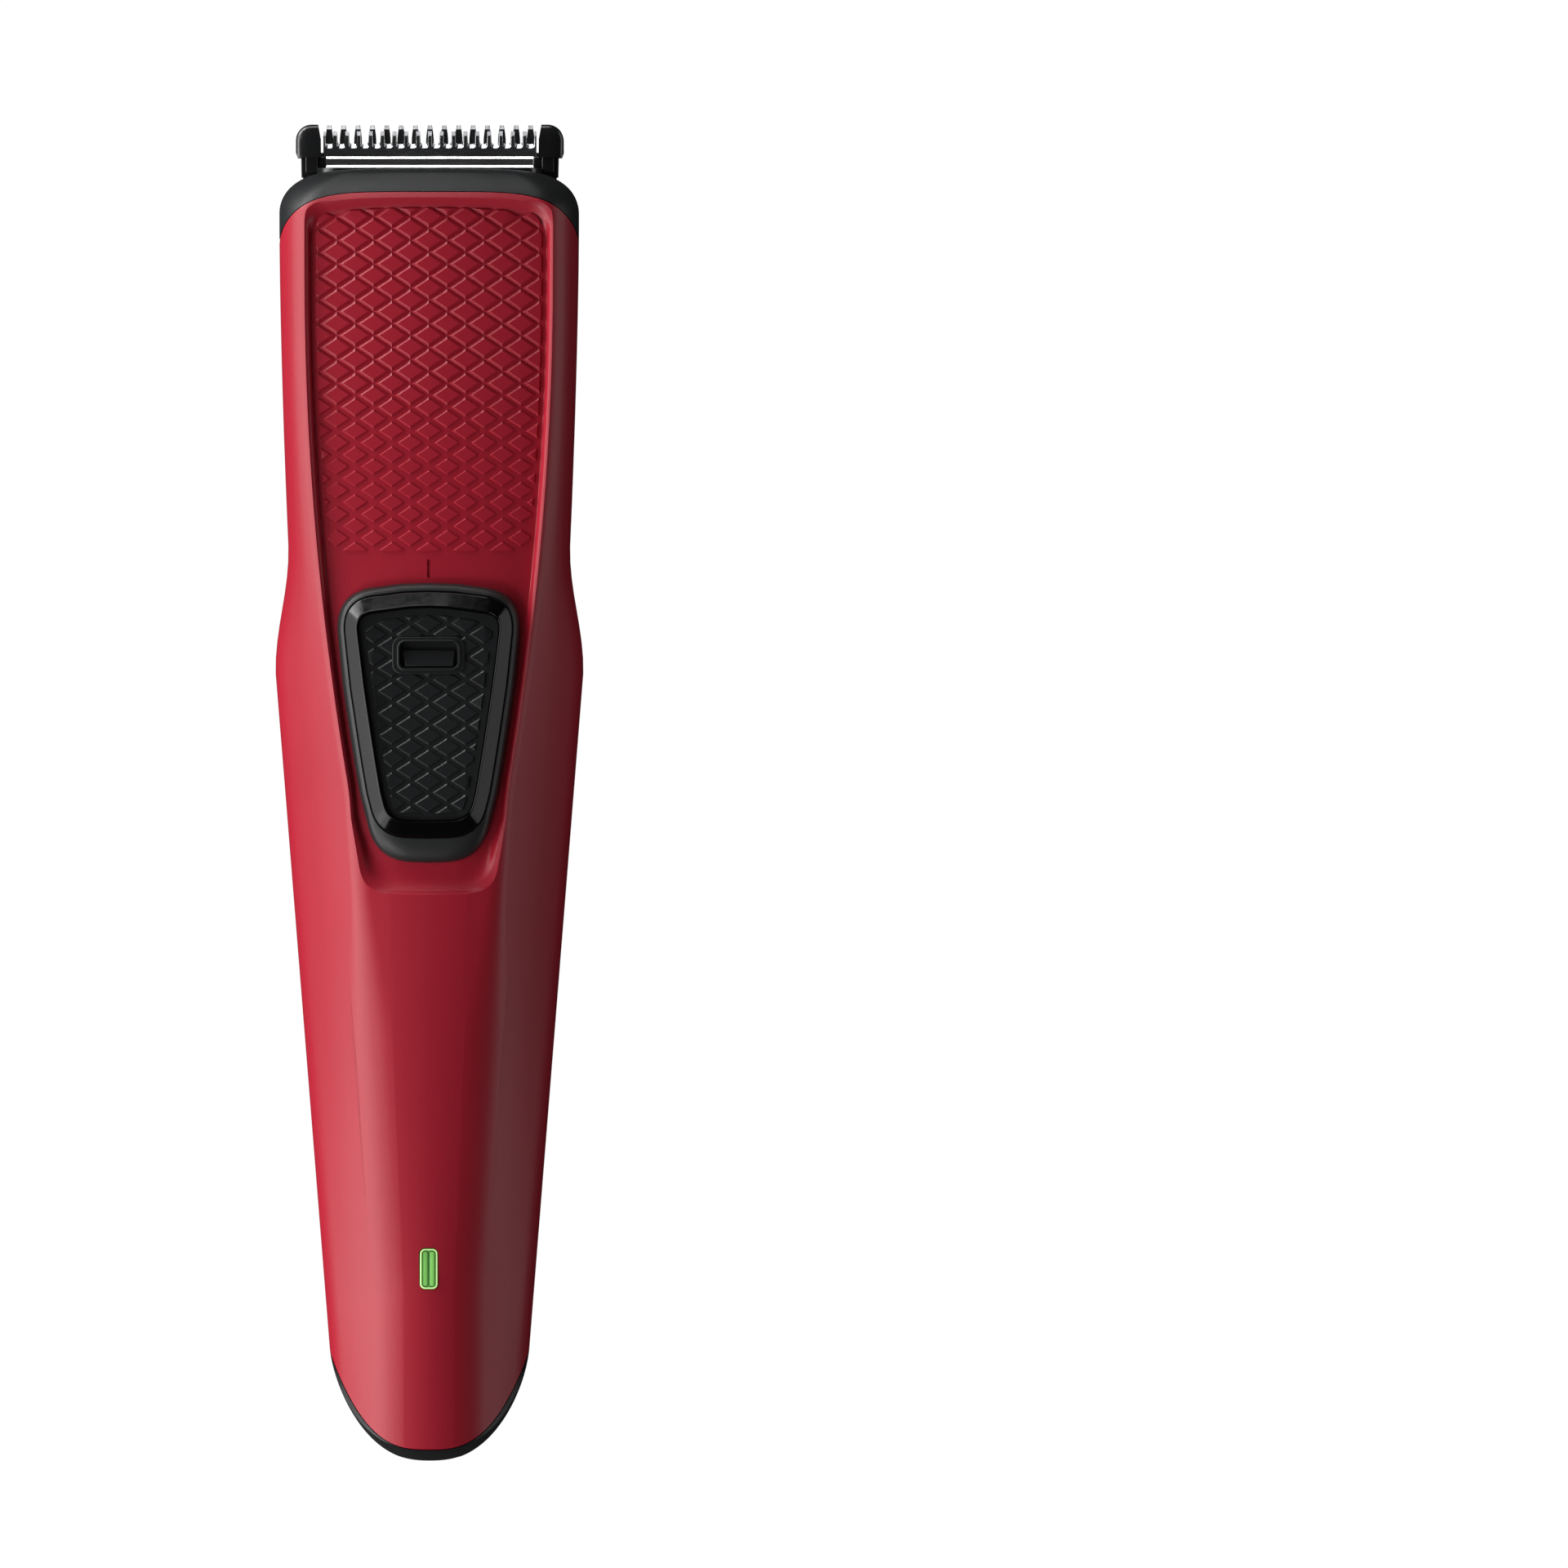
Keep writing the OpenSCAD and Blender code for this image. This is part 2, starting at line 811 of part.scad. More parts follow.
module head_frame() {
    color("#1d1e20")
        difference() {
            union() {
                translate([0, flange_y, 16])
                    rotate([90, 0, 0])
                        round_slot([26.8, 9.6], 2.8, 4.25);
                translate([-14.8, flange_y, 10.4])
                    cube([29.6, 0.45, 4.2]);
                translate([-cap_inner - 0.2, 74.4, 10.4])
                    cube([2 * cap_inner + 0.4, 1.8, guard_z - 10.4]);
                for (sx = [-1, 1]) {
                    translate([sx * 14.075 - 0.725, 73.9, 10.4])
                        cube([1.45, 2.02, 5.5]);
                    end_cap(sx);
                    // lip that reaches over the cutter's end
                    translate([sx * 13.25 - 0.25, cap_y + 0.05, lug_z + 0.02])
                        cube([0.5, 2.15, 15.98 - lug_z]);
                    // cheek that reaches down beside the housing's shoulder
                    translate([sx * 14.95 - 0.4, 73.4, 10.4])
                        cube([0.8, 2.5, 3.6]);
                    // lug under the strip's end, and a rounded stop beside it
                    translate([sx * 11.6 - 0.8, 74.6, lug_z])
                        cube([1.6, 1.2, strip_z - lug_z]);
                    translate([sx * 12.9 - 0.5, 74.6, lug_z])
                        cube([1, 1.4, strip_z + 0.5 - lug_z]);
                    translate([sx * 12.9, 75.6, lug_z])
                        cylinder(r = 0.5, h = strip_z + 0.5 - lug_z);
                }
            }
            translate([-6.2, 69, 11.9])
                cube([12.4, 6, 6.4]);
            translate([-11, 69, 17])
                cube([22, 4, 2]);
        }
}

// Rounded end cap beside the blades
module end_cap(sx) {
    translate([sx * (cap_inner + head_half_w) / 2, cap_y, 10.4])
        linear_extrude(5.6)
            polygon(cap_points(sx));
}

function cap_points(sx) =
    let (
        h = (head_half_w - cap_inner) / 2,
        r = 1.9,
        top = end_y - cap_y,
        outline = concat(
            [[-h, 0], [h - 0.2, 0], [h, 0.6]],
            [for (a = [0 : 15 : 90]) [h - r + r * cos(a), top - r + r * sin(a)]],
            [[-h, top]]
        )
    )
    sx > 0 ? outline : [for (i = [len(outline) - 1 : -1 : 0]) [-outline[i][0], outline[i][1]]];

module guard() {
    pitch = 24 / (guard_teeth - 1);
    root_y = 76.3;
    color("#5c5f63")
        translate([0, 0, guard_z])
            linear_extrude(guard_t) {
                translate([-13.2, 74.95])
                    square([26.4, root_y - 74.95]);
                for (i = [0 : guard_teeth - 1])
                    translate([-12 + i * pitch, root_y - 0.1])
                        polygon([[-0.48, 0], [0.48, 0], [0.23, 3.1], [0.12, end_y - root_y - 0.05],
                                 [-0.12, end_y - root_y - 0.05], [-0.23, 3.1]]);
            }
}

module cutter() {
    pitch = 2 * 12.69 / (cutter_teeth - 1);
    gap_r = (pitch - 0.45) / 2;
    tip_y = 78.9;
    root_y = 76.9;
    color("#8e9297")
        translate([0, 0, cutter_z])
            linear_extrude(cutter_t)
                difference() {
                    translate([-12.7, 75])
                        square([25.4, tip_y - 75]);
                    for (i = [0 : cutter_teeth - 2])
                        translate([-12.69 + (i + 0.5) * pitch, root_y + gap_r]) {
                            circle(r = gap_r, $fn = 24);
                            translate([-gap_r, 0])
                                square([2 * gap_r, 4]);
                        }
                }
}

// Yoke on the cutter; its slot leaves room for the pin at every angle and cutter position
slot_w = 2 * (pin_r + 2 * throw) + 0.2;
module cutter_carrier() {
    color("#e0ded6") {
        difference() {
            translate([-4.6, 70.9, 12])
                cube([9.2, 3.45, 6]);
            translate([-slot_w / 2, 70, drive_z - slot_w / 2])
                cube([slot_w, 4, slot_w]);
        }
        translate([-4, 74.3, cutter_z + cutter_t])
            cube([8, 1.5, 1.1]);
    }
}

module pressure_strip() {
    color("#dfe1e4")
        translate([-12.35, 0, strip_z])
            rotate([90, 0, 90])
                linear_extrude(24.7)
                    polygon([[74.5, 0], [75.85, 0], [75.85, 0.2], [75.5, 0.45], [74.8, 0.45], [74.5, 0.2]]);
}

front_housing();
rear_housing();
led_lens();
slider_button();
slider_pad();
slider_clip();
switch_knob();
switch_body();
circuit_board();
board_chip();
board_capacitor();
board_coil();
indicator_led();
battery_cell();
battery_tabs();
inner_frame();
motor_holder();
motor_can();
motor_magnets();
motor_end_bell();
motor_terminals();
motor_shaft();
motor_armature();
eccentric_cam();
drive_cover();
motor_screws();
motor_leads();
charging_socket();
socket_contacts();
socket_leads();
housing_screws();
head_frame();
guard();
cutter();
cutter_carrier();
pressure_strip();
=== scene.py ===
from math import atan2, cos, hypot, pi, radians, sin

import bmesh
import bpy
from mathutils import Euler, Matrix, Vector


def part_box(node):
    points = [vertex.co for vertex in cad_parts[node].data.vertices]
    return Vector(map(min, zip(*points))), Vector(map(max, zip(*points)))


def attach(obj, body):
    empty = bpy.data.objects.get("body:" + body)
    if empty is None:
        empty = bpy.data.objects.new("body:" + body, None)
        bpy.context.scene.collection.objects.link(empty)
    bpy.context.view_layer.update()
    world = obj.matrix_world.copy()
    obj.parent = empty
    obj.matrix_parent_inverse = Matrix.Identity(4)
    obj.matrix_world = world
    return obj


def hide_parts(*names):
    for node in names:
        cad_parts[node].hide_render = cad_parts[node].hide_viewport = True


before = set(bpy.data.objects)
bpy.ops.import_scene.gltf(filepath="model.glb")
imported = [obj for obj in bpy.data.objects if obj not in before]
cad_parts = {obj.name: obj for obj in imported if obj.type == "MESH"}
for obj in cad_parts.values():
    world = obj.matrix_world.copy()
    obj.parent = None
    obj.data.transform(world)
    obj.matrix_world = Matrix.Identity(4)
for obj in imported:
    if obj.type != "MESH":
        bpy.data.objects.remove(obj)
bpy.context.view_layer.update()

MM = 0.001


def low_mm(node):
    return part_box(node)[0] / MM


def high_mm(node):
    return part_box(node)[1] / MM


# ---- Driving sizes: three are read from the parts in model.glb, and the others repeat the CAD's ----

END_Y = high_mm("head_frame").y  # both ends lie this far from the middle
GRIP_HALF_W = high_mm("rear_housing").x  # half of the greatest width, across the swell
PAD_ABOVE_FOOT = 1.4  # how high the pad lies above the slider's foot
FOOT_GAP = 0.1  # between the slider's foot and the panel
PANEL_Z = low_mm("slider_pad").z - (PAD_ABOVE_FOOT + FOOT_GAP)  # floor of the sunk thumb panel
PANEL_DEPTH = 1.5
FRONT_Z = PANEL_Z + PANEL_DEPTH  # crest of the front face
SEAM_Z = 17  # seam between the two housings
SEAM_GAP = 0.1
WALL = 1.8  # thickness of the housing wall
MOUTH_Y = 74.3  # blade end of the housing
SHOULDER_Y = 69  # where the rounding of the blade end starts
WAIST_Y = 29  # where the waist is narrowest
SWELL_Y = 14.5  # where the housing is widest
BEND_Y = -12  # below it the front face slopes gently back
TAIL_Y = -66  # where the rounding of the tail starts
TOP_HALF_W = 17.8  # half width of the shoulder
TAIL_Z = 12  # height at which the tail reaches furthest
CROWN = 0.95  # how far the front face falls at its crests
DRIVE_Z = 15  # height of the motor's axis
SCREWS = [(sx * x, y) for x, y in ((12.2, 31.5), (10.4, -20)) for sx in (-1, 1)]
LENS_Y = -56.5


# ---- Mesh helpers ----

def placed(name, data):
    """New object of the scene that shows a mesh, light or camera."""
    made = bpy.data.objects.new(name, data)
    bpy.context.scene.collection.objects.link(made)
    return made


def mesh_object(name, points, faces):
    mesh = bpy.data.meshes.new(name)
    mesh.from_pydata(points, [], faces)
    mesh.update()
    return placed(name, mesh)


def loft(name, rings):
    """Closed solid through rings with equal numbers of points, which run anticlockwise as seen
    from beyond the last ring."""
    n = len(rings[0])
    points = [p for ring in rings for p in ring]
    last = len(points) - n
    faces = [[n - 1 - i for i in range(n)], [last + i for i in range(n)]]
    for j in range(len(rings) - 1):
        for i in range(n):
            k = (i + 1) % n
            faces.append([j * n + i, j * n + k, (j + 1) * n + k, (j + 1) * n + i])
    return mesh_object(name, points, faces)


def doubled_area(outline):
    """Twice the area inside a plan outline, below zero where it runs clockwise seen from +Z."""
    return sum(a[0] * b[1] - b[0] * a[1] for a, b in zip(outline, outline[1:] + outline[:1]))


def anticlockwise(outline):
    return outline if doubled_area(outline) > 0 else outline[::-1]


def plan_loft(name, layers):
    """Closed solid from plan outlines at rising heights, [(outline, z), ...]. Each z is a number
    or a function of x and y."""
    rings = []
    for outline, z in layers:
        rings.append([(x, y, z(x, y) if callable(z) else z) for x, y in anticlockwise(outline)])
    return loft(name, rings)


def combine(target, others, operation):
    """Boolean of the target with other solids, which it uses up."""
    for other in others:
        modifier = target.modifiers.new("join", "BOOLEAN")
        modifier.operation = operation
        modifier.solver = "MANIFOLD"
        modifier.object = other
    graph = bpy.context.evaluated_depsgraph_get()
    mesh = bpy.data.meshes.new_from_object(target.evaluated_get(graph), depsgraph=graph)
    target.modifiers.clear()
    old = target.data
    target.data = mesh
    bpy.data.meshes.remove(old)
    for other in others:
        bpy.data.objects.remove(other)
    return target


def cut(target, *others):
    return combine(target, others, "DIFFERENCE")


def unite(target, *others):
    return combine(target, others, "UNION")


def joined(name, parts):
    """One object that holds several separate solids."""
    whole = bmesh.new()
    for part in parts:
        whole.from_mesh(part.data)
        bpy.data.objects.remove(part)
    mesh = bpy.data.meshes.new(name)
    whole.to_mesh(mesh)
    whole.free()
    return placed(name, mesh)


def hull(name, points):
    """Convex solid round a cloud of points."""
    solid = bmesh.new()
    for p in points:
        solid.verts.new(p)
    bmesh.ops.remove_doubles(solid, verts=solid.verts, dist=1e-4)
    result = bmesh.ops.convex_hull(solid, input=solid.verts)
    loose = [v for v in result["geom_interior"] if isinstance(v, bmesh.types.BMVert)]
    bmesh.ops.delete(solid, geom=list(set(loose)), context="VERTS")
    bmesh.ops.recalc_face_normals(solid, faces=solid.faces)
    mesh = bpy.data.meshes.new(name)
    solid.to_mesh(mesh)
    solid.free()
    return placed(name, mesh)


def finish_piece(piece, body, node, material, smooth=32):
    """Scales a piece from millimetres, shades it with sharp edges above the angle smooth, ties it
    to its body and material, and hides the CAD node of the same part."""
    piece.data.transform(Matrix.Scale(MM, 4))
    piece.data.shade_smooth()
    piece.data.set_sharp_from_angle(angle=radians(smooth))
    piece.data.materials.clear()
    piece.data.materials.append(material)
    weighted = piece.modifiers.new("flat faces stay flat", "WEIGHTED_NORMAL")
    weighted.keep_sharp = True
    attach(piece, body)
    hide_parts(node)


# ---- Outlines ----

def inset(outline, d):
    """Outline moved inwards by d along its corners' bisectors."""
    points = anticlockwise(outline)
    moved = []
    for i, p in enumerate(points):
        a, b = points[i - 1], points[(i + 1) % len(points)]
        u = Vector((p[0] - a[0], p[1] - a[1])).normalized()
        v = Vector((b[0] - p[0], b[1] - p[1])).normalized()
        normal = Vector((-u.y - v.y, u.x + v.x))
        scale = d * 2 / max(normal.length_squared, 0.5)
        moved.append((p[0] + normal.x * scale, p[1] + normal.y * scale))
    return moved


def bend(a, b, c, size, steps):
    """Rounded corner b of the path a, b, c."""
    a, b, c = Vector(a), Vector(b), Vector(c)
    p = b + size * (a - b).normalized()
    q = b + size * (c - b).normalized()
    ts = [i / steps for i in range(steps + 1)]
    return [tuple((1 - t) ** 2 * p + 2 * t * (1 - t) * b + t * t * q) for t in ts]


def shrunk(outline, share, middle_y):
    """The outline shrunk towards a point on the centre line."""
    return [(x * share, middle_y + (y - middle_y) * share) for x, y in outline]


def both_sides(right):
    """Whole outline from its right half, which starts and ends on the centre line."""
    return right + [(-x, y) for x, y in right[-2:0:-1]]


def on_side(sx, outline):
    """The outline as it is for sx = 1, and mirrored for sx = -1."""
    return [(sx * x, y) for x, y in outline]


def round_rect(x, y, w, h, r, steps=6):
    """Rounded rectangle centred at x, y."""
    points = []
    for corner in range(4):
        cx = x + (w / 2 - r) * (1 if corner in (0, 3) else -1)
        cy = y + (h / 2 - r) * (1 if corner < 2 else -1)
        for i in range(steps + 1):
            a = pi / 2 * (corner + i / steps)
            points.append((cx + r * cos(a), cy + r * sin(a)))
    return points


def rounded_prism(name, outline, z0, z1, top_r, bottom_r=0.0, steps=4):
    """Prism with rounded top and bottom edges."""
    layers = []
    if bottom_r:
        for i in range(steps):
            a = pi / 2 * i / steps
            layers.append((inset(outline, bottom_r * (1 - sin(a))), z0 + bottom_r * (1 - cos(a))))
        layers.append((inset(outline, 0), z0 + bottom_r))
    else:
        layers.append((inset(outline, 0), z0))
    layers.append((inset(outline, 0), z1 - top_r))
    for i in range(1, steps + 1):
        a = pi / 2 * i / steps
        layers.append((inset(outline, top_r * (1 - cos(a))), z1 - top_r * (1 - sin(a))))
    return plan_loft(name, layers)


def circle(x, y, r, steps=40):
    turns = [2 * pi * i / steps for i in range(steps)]
    return [(x + r * cos(a), y + r * sin(a)) for a in turns]


def prism(name, outline, z0, z1):
    return plan_loft(name, [(outline, z0), (outline, z1)])


def along_y(piece, x, y, z):
    """Turns a solid built along +Z so that it runs along +Y from x, y, z."""
    quarter_turn = Euler((-pi / 2, 0, 0)).to_matrix().to_4x4()
    piece.data.transform(Matrix.Translation((x, y, z)) @ quarter_turn)
    return piece


# ---- Housing body, the same shape as the CAD with finer steps ----

def ease(t):
    return (1 - cos(pi * t)) / 2


def clamp(t):
    return min(max(t, 0.0), 1.0)


def straight_half_w(y):
    """Half width of the body without the rounding of its ends."""
    if y < SWELL_Y:
        return GRIP_HALF_W - 0.08 * (SWELL_Y - y)
    if y < WAIST_Y:
        return GRIP_HALF_W - 1.6 * ease((y - SWELL_Y) / (WAIST_Y - SWELL_Y))
    return TOP_HALF_W - 1.07 * (max(68 - y, 0) / 39) ** 1.6


def past_shoulder(y):
    return clamp((y - SHOULDER_Y) / (MOUTH_Y - SHOULDER_Y))


def top_side(y):
    """How far the sides have drawn in at the blade end."""
    return max(1 - past_shoulder(y) ** 2, 0) ** 0.19


def top_depth(y):
    """How far the front and back have drawn in at the blade end, with a rounded edge."""
    s = past_shoulder(y)
    return 1 - 0.27 * s ** 1.5 - 0.12 * (max(s - 0.9, 0) / 0.1) ** 2


def crest_half_w(y):
    """How far from the middle the front face turns into the flank."""
    return 14.45 - 0.00138 * (min(y, 62) - 62) ** 2 if y > 0 else max(9.15 + 0.07 * y, 5)


def front_height(y):
    """Height of the middle of the front face."""
    return FRONT_Z if y > BEND_Y else FRONT_Z - 0.055 * (BEND_Y - y)


def back_height(y):
    """Height of the middle of the back, which curves up towards both ends. It is a little below
    the resting face, where the back is then cut flat."""
    if y > 30:
        return 7 * ((y - 30) / 44) ** 1.6 - 0.3
    return -0.3 if y > -50 else 4 * ((-50 - y) / 30) ** 1.5 - 0.3


def fall(x, y):
    """How far the crowned front face has fallen at x."""
    return CROWN * (x / crest_half_w(y)) ** 2


def half_section(y, t, steps):
    """Right half of a cross-section, from the middle of the front to the middle of the back."""
    w = straight_half_w(y) - t
    c = min(crest_half_w(y), w - 2) - 0.4 * t
    zf = front_height(y) - t
    zb = back_height(y) + t
    crest_cut = min(1.4 + 1.8 * clamp((BEND_Y - y) / 20), 0.4 * c)
    crest = (c, zf - CROWN)
    side_top = (w, max(SEAM_Z + 1.8, crest[1] - 1.15 * (w - c)))
    flank = ((c + w) / 2 + 0.21, (crest[1] + side_top[1]) / 2 + 0.21)
    flank_cut = min(3.2, 0.8 * (hypot(flank[0] - w, flank[1] - side_top[1]) - 1.6))
    shares = (0, 0.1, 0.2, 0.3, 0.4, 0.5, 0.59)
    points = [(share * c, zf - CROWN * share ** 2) for share in shares]
    points += bend((0.6 * c, zf - 0.36 * CROWN), crest, flank, crest_cut, 3 * steps)
    points += bend(crest, flank, side_top, flank_cut, steps)
    points += bend(flank, side_top, (w, SEAM_Z), 1.6, steps)
    points.append((w, SEAM_Z))
    turns = 8 * steps
    for i in range(1, turns):
        a = pi / 2 * i / turns
        points.append((w * cos(a) ** 0.77, SEAM_Z - (SEAM_Z - zb) * sin(a) ** 0.77))
    points.append((0, zb))
    return points


def tail_outline(d, steps):
    """Plan outline of the tail, whose end is moved in by d; it leaves the rest of the body free."""
    length = END_Y + TAIL_Y
    right = []
    for i in range(16 * steps + 1):
        u = sin(pi / 2 * i / (16 * steps))
        x = straight_half_w(TAIL_Y - u * length) * max(1 - u ** 1.8, 0) ** 0.42
        right.append((x, TAIL_Y - u * length + d * (1 - (1 - u) ** 4)))
    rest = [(30, TAIL_Y), (30, 90), (-30, 90), (-30, TAIL_Y)]
    return [(-x, y) for x, y in right] + right[-2::-1] + rest


# Height, and how far the end wall of the tail stands in there
TAIL_LEAN = [
    (-1, 2.8), (2, 1.1), (5, 0.3), (TAIL_Z, 0.0), (17, 0.2), (19, 0.38),
    (21, 0.6), (22.5, 0.84), (24, 1.15), (25, 1.5), (25.6, 2.0), (30, 4.0),
]


def body_solid(name, t, steps):
    """Housing body, made smaller by t on every side."""
    start = -82  # past the tail, which the tail block cuts to its outline
    length = SHOULDER_Y - start
    straight = [start + length * i / (20 * steps) for i in range(20 * steps + 1)]
    turns = 7 * steps
    angles = [radians(88.8 * i / turns) for i in range(1, turns + 1)]
    top = [SHOULDER_Y + (MOUTH_Y - SHOULDER_Y) * sin(a) for a in angles]
    share = (MOUTH_Y + END_Y - 2 * t) / (MOUTH_Y + END_Y)
    rings = []
    for station in straight + top:
        y = (station + END_Y) * share - END_Y + t
        side, depth = top_side(station), top_depth(station)
        around = both_sides(half_section(y, t, steps))
        rings.append([(x * side, y, DRIVE_Z + (z - DRIVE_Z) * depth) for x, z in around])
    block = plan_loft("tail block", [(tail_outline(d + t, steps), z) for z, d in TAIL_LEAN])
    return combine(loft(name, rings), [block], "INTERSECT")


def front_region(name, extra):
    """Everything above the seam that belongs to the front housing, grown by extra in plan."""
    steps = 72
    top, tail = [], []
    for i in range(steps + 1):
        a = pi * i / steps
        x = TOP_HALF_W * cos(a)
        top.append((x, 65 + 6.4 * max(1 - abs(x / TOP_HALF_W) ** 5, 0) ** 0.55))
        x = -12 * cos(a)
        tail.append((x, TAIL_Y - 12 * (1 - abs(x / 12) ** 2.8)))
    outline = top + [(-25, 65), (-25, TAIL_Y)] + tail + [(25, TAIL_Y), (25, 65)]
    outline = inset(outline, -extra) if extra else outline
    return prism(name, outline, SEAM_Z, SEAM_Z + 20)


def panel_outline(side, top, bottom):
    """Outline of the thumb panel, moved in at its sides, top and bottom."""
    corner = (7.1 - side, bottom - 11.7)
    right = [(0, bottom - 11.9)]
    right += bend((0, bottom - 11.9), corner, (crest_half_w(6) - side, 6), 3.4, 12)
    right += [(crest_half_w(y) - side, y) for y in range(-3, 61, 2)]
    right += bend((14.45 - side, 60), (14.5 - side, 70.1 - top), (10, 70.5 - top), 3, 12)
    right += [(8, 70.9 - top), (4, 71.05 - top), (0, 71.1 - top)]
    return both_sides(right)


def panel_floor_z(x, y):
    return PANEL_Z - fall(x, y)


# Height above the panel floor, and how far in the wall stands at the sides, top and bottom
RECESS_WALL = [
    (0.00, 0.50, 1.60, 3.2), (0.04, 0.44, 1.48, 2.7), (0.12, 0.38, 1.30, 2.2),
    (0.30, 0.31, 1.02, 1.6), (0.55, 0.23, 0.68, 1.05), (0.80, 0.11, 0.32, 0.65),
    (0.92, 0.02, 0.12, 0.45), (1.00, -0.07, -0.06, 0.33), (1.10, -0.24, -0.24, 0.22),
    (1.25, -0.5, -0.5, 0.10), (1.38, -0.75, -0.75, 0.0), (1.48, -0.9, -0.9, -0.1),
    (1.62, -1.1, -1.1, -0.45), (2.6, -1.2, -1.2, -0.8),
]


def panel_recess():
    """Space of the sunk panel, whose floor is crowned and so is made of rings one in another."""
    foot = panel_outline(*RECESS_WALL[0][1:])
    rings = []
    for share in (0.02, 0.15, 0.3, 0.45, 0.6, 0.75, 0.9):
        rings.append([(x, y, panel_floor_z(x, y)) for x, y in shrunk(foot, share, 30)])
    for height, *insets in RECESS_WALL:
        ring = panel_outline(*insets)
        rings.append([(x, y, panel_floor_z(x, y) + height) for x, y in ring])
    rings.append([(x, y, FRONT_Z + 3) for x, y, _ in rings[-1]])
    return loft("recess", rings)


# ---- Diamond tiles ----

def edge_planes(outline, d=0.0):
    """Inward half-planes (nx, ny, limit) of a convex outline, moved inwards by d."""
    points = anticlockwise(outline)
    planes = []
    for a, b in zip(points, points[1:] + points[:1]):
        length = hypot(b[0] - a[0], b[1] - a[1])
        if length > 1e-6:
            nx, ny = -(b[1] - a[1]) / length, (b[0] - a[0]) / length
            planes.append((nx, ny, nx * a[0] + ny * a[1] + d))
    return planes


def clip(polygon, planes):
    """The part of a convex polygon that is inside every half-plane."""
    for nx, ny, limit in planes:
        kept = []
        for a, b in zip(polygon, polygon[1:] + polygon[:1]):
            da, db = nx * a[0] + ny * a[1] - limit, nx * b[0] + ny * b[1] - limit
            if da >= 0:
                kept.append(a)
            if (da > 0) != (db > 0) and abs(da - db) > 1e-9:
                t = da / (da - db)
                kept.append((a[0] + t * (b[0] - a[0]), a[1] + t * (b[1] - a[1])))
        polygon = kept
        if len(polygon) < 3:
            return []
    return polygon


def area(polygon):
    return abs(doubled_area(polygon)) / 2


# Bevel of a diamond: share of its width, share of its height
BEVEL = [(0, 0), (0.78, 0.84), (0.92, 0.965), (1, 1)]
TILE_ROOT = 0.25  # how far a diamond reaches into the surface below it
LEAST_AREA = 0.05  # a clipped diamond with a smaller top is left out


def tile(x, y, pitch, region, foot, top, height, floor_z, rim):
    """One raised diamond with bevelled edges. foot and top are how far its base and its flat top
    stand in from the lattice lines, and rim is how far the top stands in from the region's edge."""
    half_x, half_y = pitch[0] / 2, pitch[1] / 2
    cell = [(x + half_x, y), (x, y + half_y), (x - half_x, y), (x, y - half_y)]
    points = []
    for run, rise in BEVEL:
        lattice = edge_planes(cell, foot + (top - foot) * run)
        edges = edge_planes(region, rim * run)
        ring = clip(clip(cell, lattice), edges)
        if not ring or run == 1 and area(ring) < LEAST_AREA:
            return None
        points += [(px, py, floor_z(px, py) + height * rise) for px, py in ring]
        if run == 0:
            points += [(px, py, floor_z(px, py) - TILE_ROOT) for px, py in ring]
    return hull("tile", points)


def tile_field(name, region, pitch, origin, rows, columns, sizes, floor_z, rim, free=None):
    """Staggered diamonds from y = origin, clipped to a convex region. sizes(y) gives a diamond's
    foot, top and height, and free(x, y) says where none stands."""
    tiles = []
    for row in range(rows):
        for column in range(-columns, columns + 1):
            x = (column + (row % 2) / 2) * pitch[0]
            y = origin + row * pitch[1] / 2
            if free and free(x, y):
                continue
            made = tile(x, y, pitch, region, *sizes(y), floor_z, rim)
            if made:
                tiles.append(made)
    return joined(name, tiles)


def grip_region():
    """Part of the panel that holds diamonds."""
    right = [(0, 28.75), (12.0, 28.75)]
    right += [(crest_half_w(y) - 0.74 - 0.22, y) for y in range(31, 63, 4)]
    right += bend((13.47, 63), (13.5, 69.0), (9, 69.3), 2.0, 6)
    right += [(5, 69.5), (0, 69.55)]
    return both_sides(right)


def grip_sizes(y):
    """The diamonds grow from flat and small near the slider to raised and close at the blade."""
    t = ease(clamp((y - 38) / 16))
    return 0.36 - 0.345 * t, 0.50 - 0.08 * t, 0.18 + 0.13 * t


def grip_tiles():
    pitch, first_y, rows, columns, rim = (4.37, 2.83), 28.9, 31, 4, 0.12
    return tile_field("tiles", grip_region(), pitch, first_y, rows, columns, grip_sizes,
                      panel_floor_z, rim)


# ---- Housings ----

def inner_space(name):
    """Hollow of the housing, which leaves a wall under the sunk panel."""
    space = body_solid(name, WALL, 1)
    arch = [(x, PANEL_Z - 1.3 - CROWN * (abs(x) / 13) ** 3) for x in range(-18, 19)]
    arch += [(18, 40), (-18, 40)]
    return cut(space, loft("panel wall", [[(x, y, z) for x, z in arch] for y in (84, BEND_Y - 4)]))


def front_housing(material):
    shell = body_solid("front_housing_shell", 0, 4)
    combine(shell, [front_region("front plan", 0)], "INTERSECT")
    cut(shell, panel_recess(), inner_space("inside"))
    unite(shell, grip_tiles())
    slot = round_rect(0, 8.5, 5, 12, 2)
    lens = round_rect(0, LENS_Y, 2.2, 4.9, 0.7)
    tick = round_rect(0, 26.7, 0.36, 2.2, 0.17, 4)
    cut(shell,
        prism("slot", slot, 20, 32),
        plan_loft("lens", [(lens, 20), (lens, 26.3), (inset(lens, -0.18), 27)]),
        prism("tick", tick, PANEL_Z - 0.25, 29))
    finish_piece(shell, "housing", "front_housing", material)


BOSS_R = 3.2
SCREW_HOLE_R = 1.25
SCREW_SEAT_R = 2.4
NOTCH_Y = 53  # where a comb's tongue catches on the back


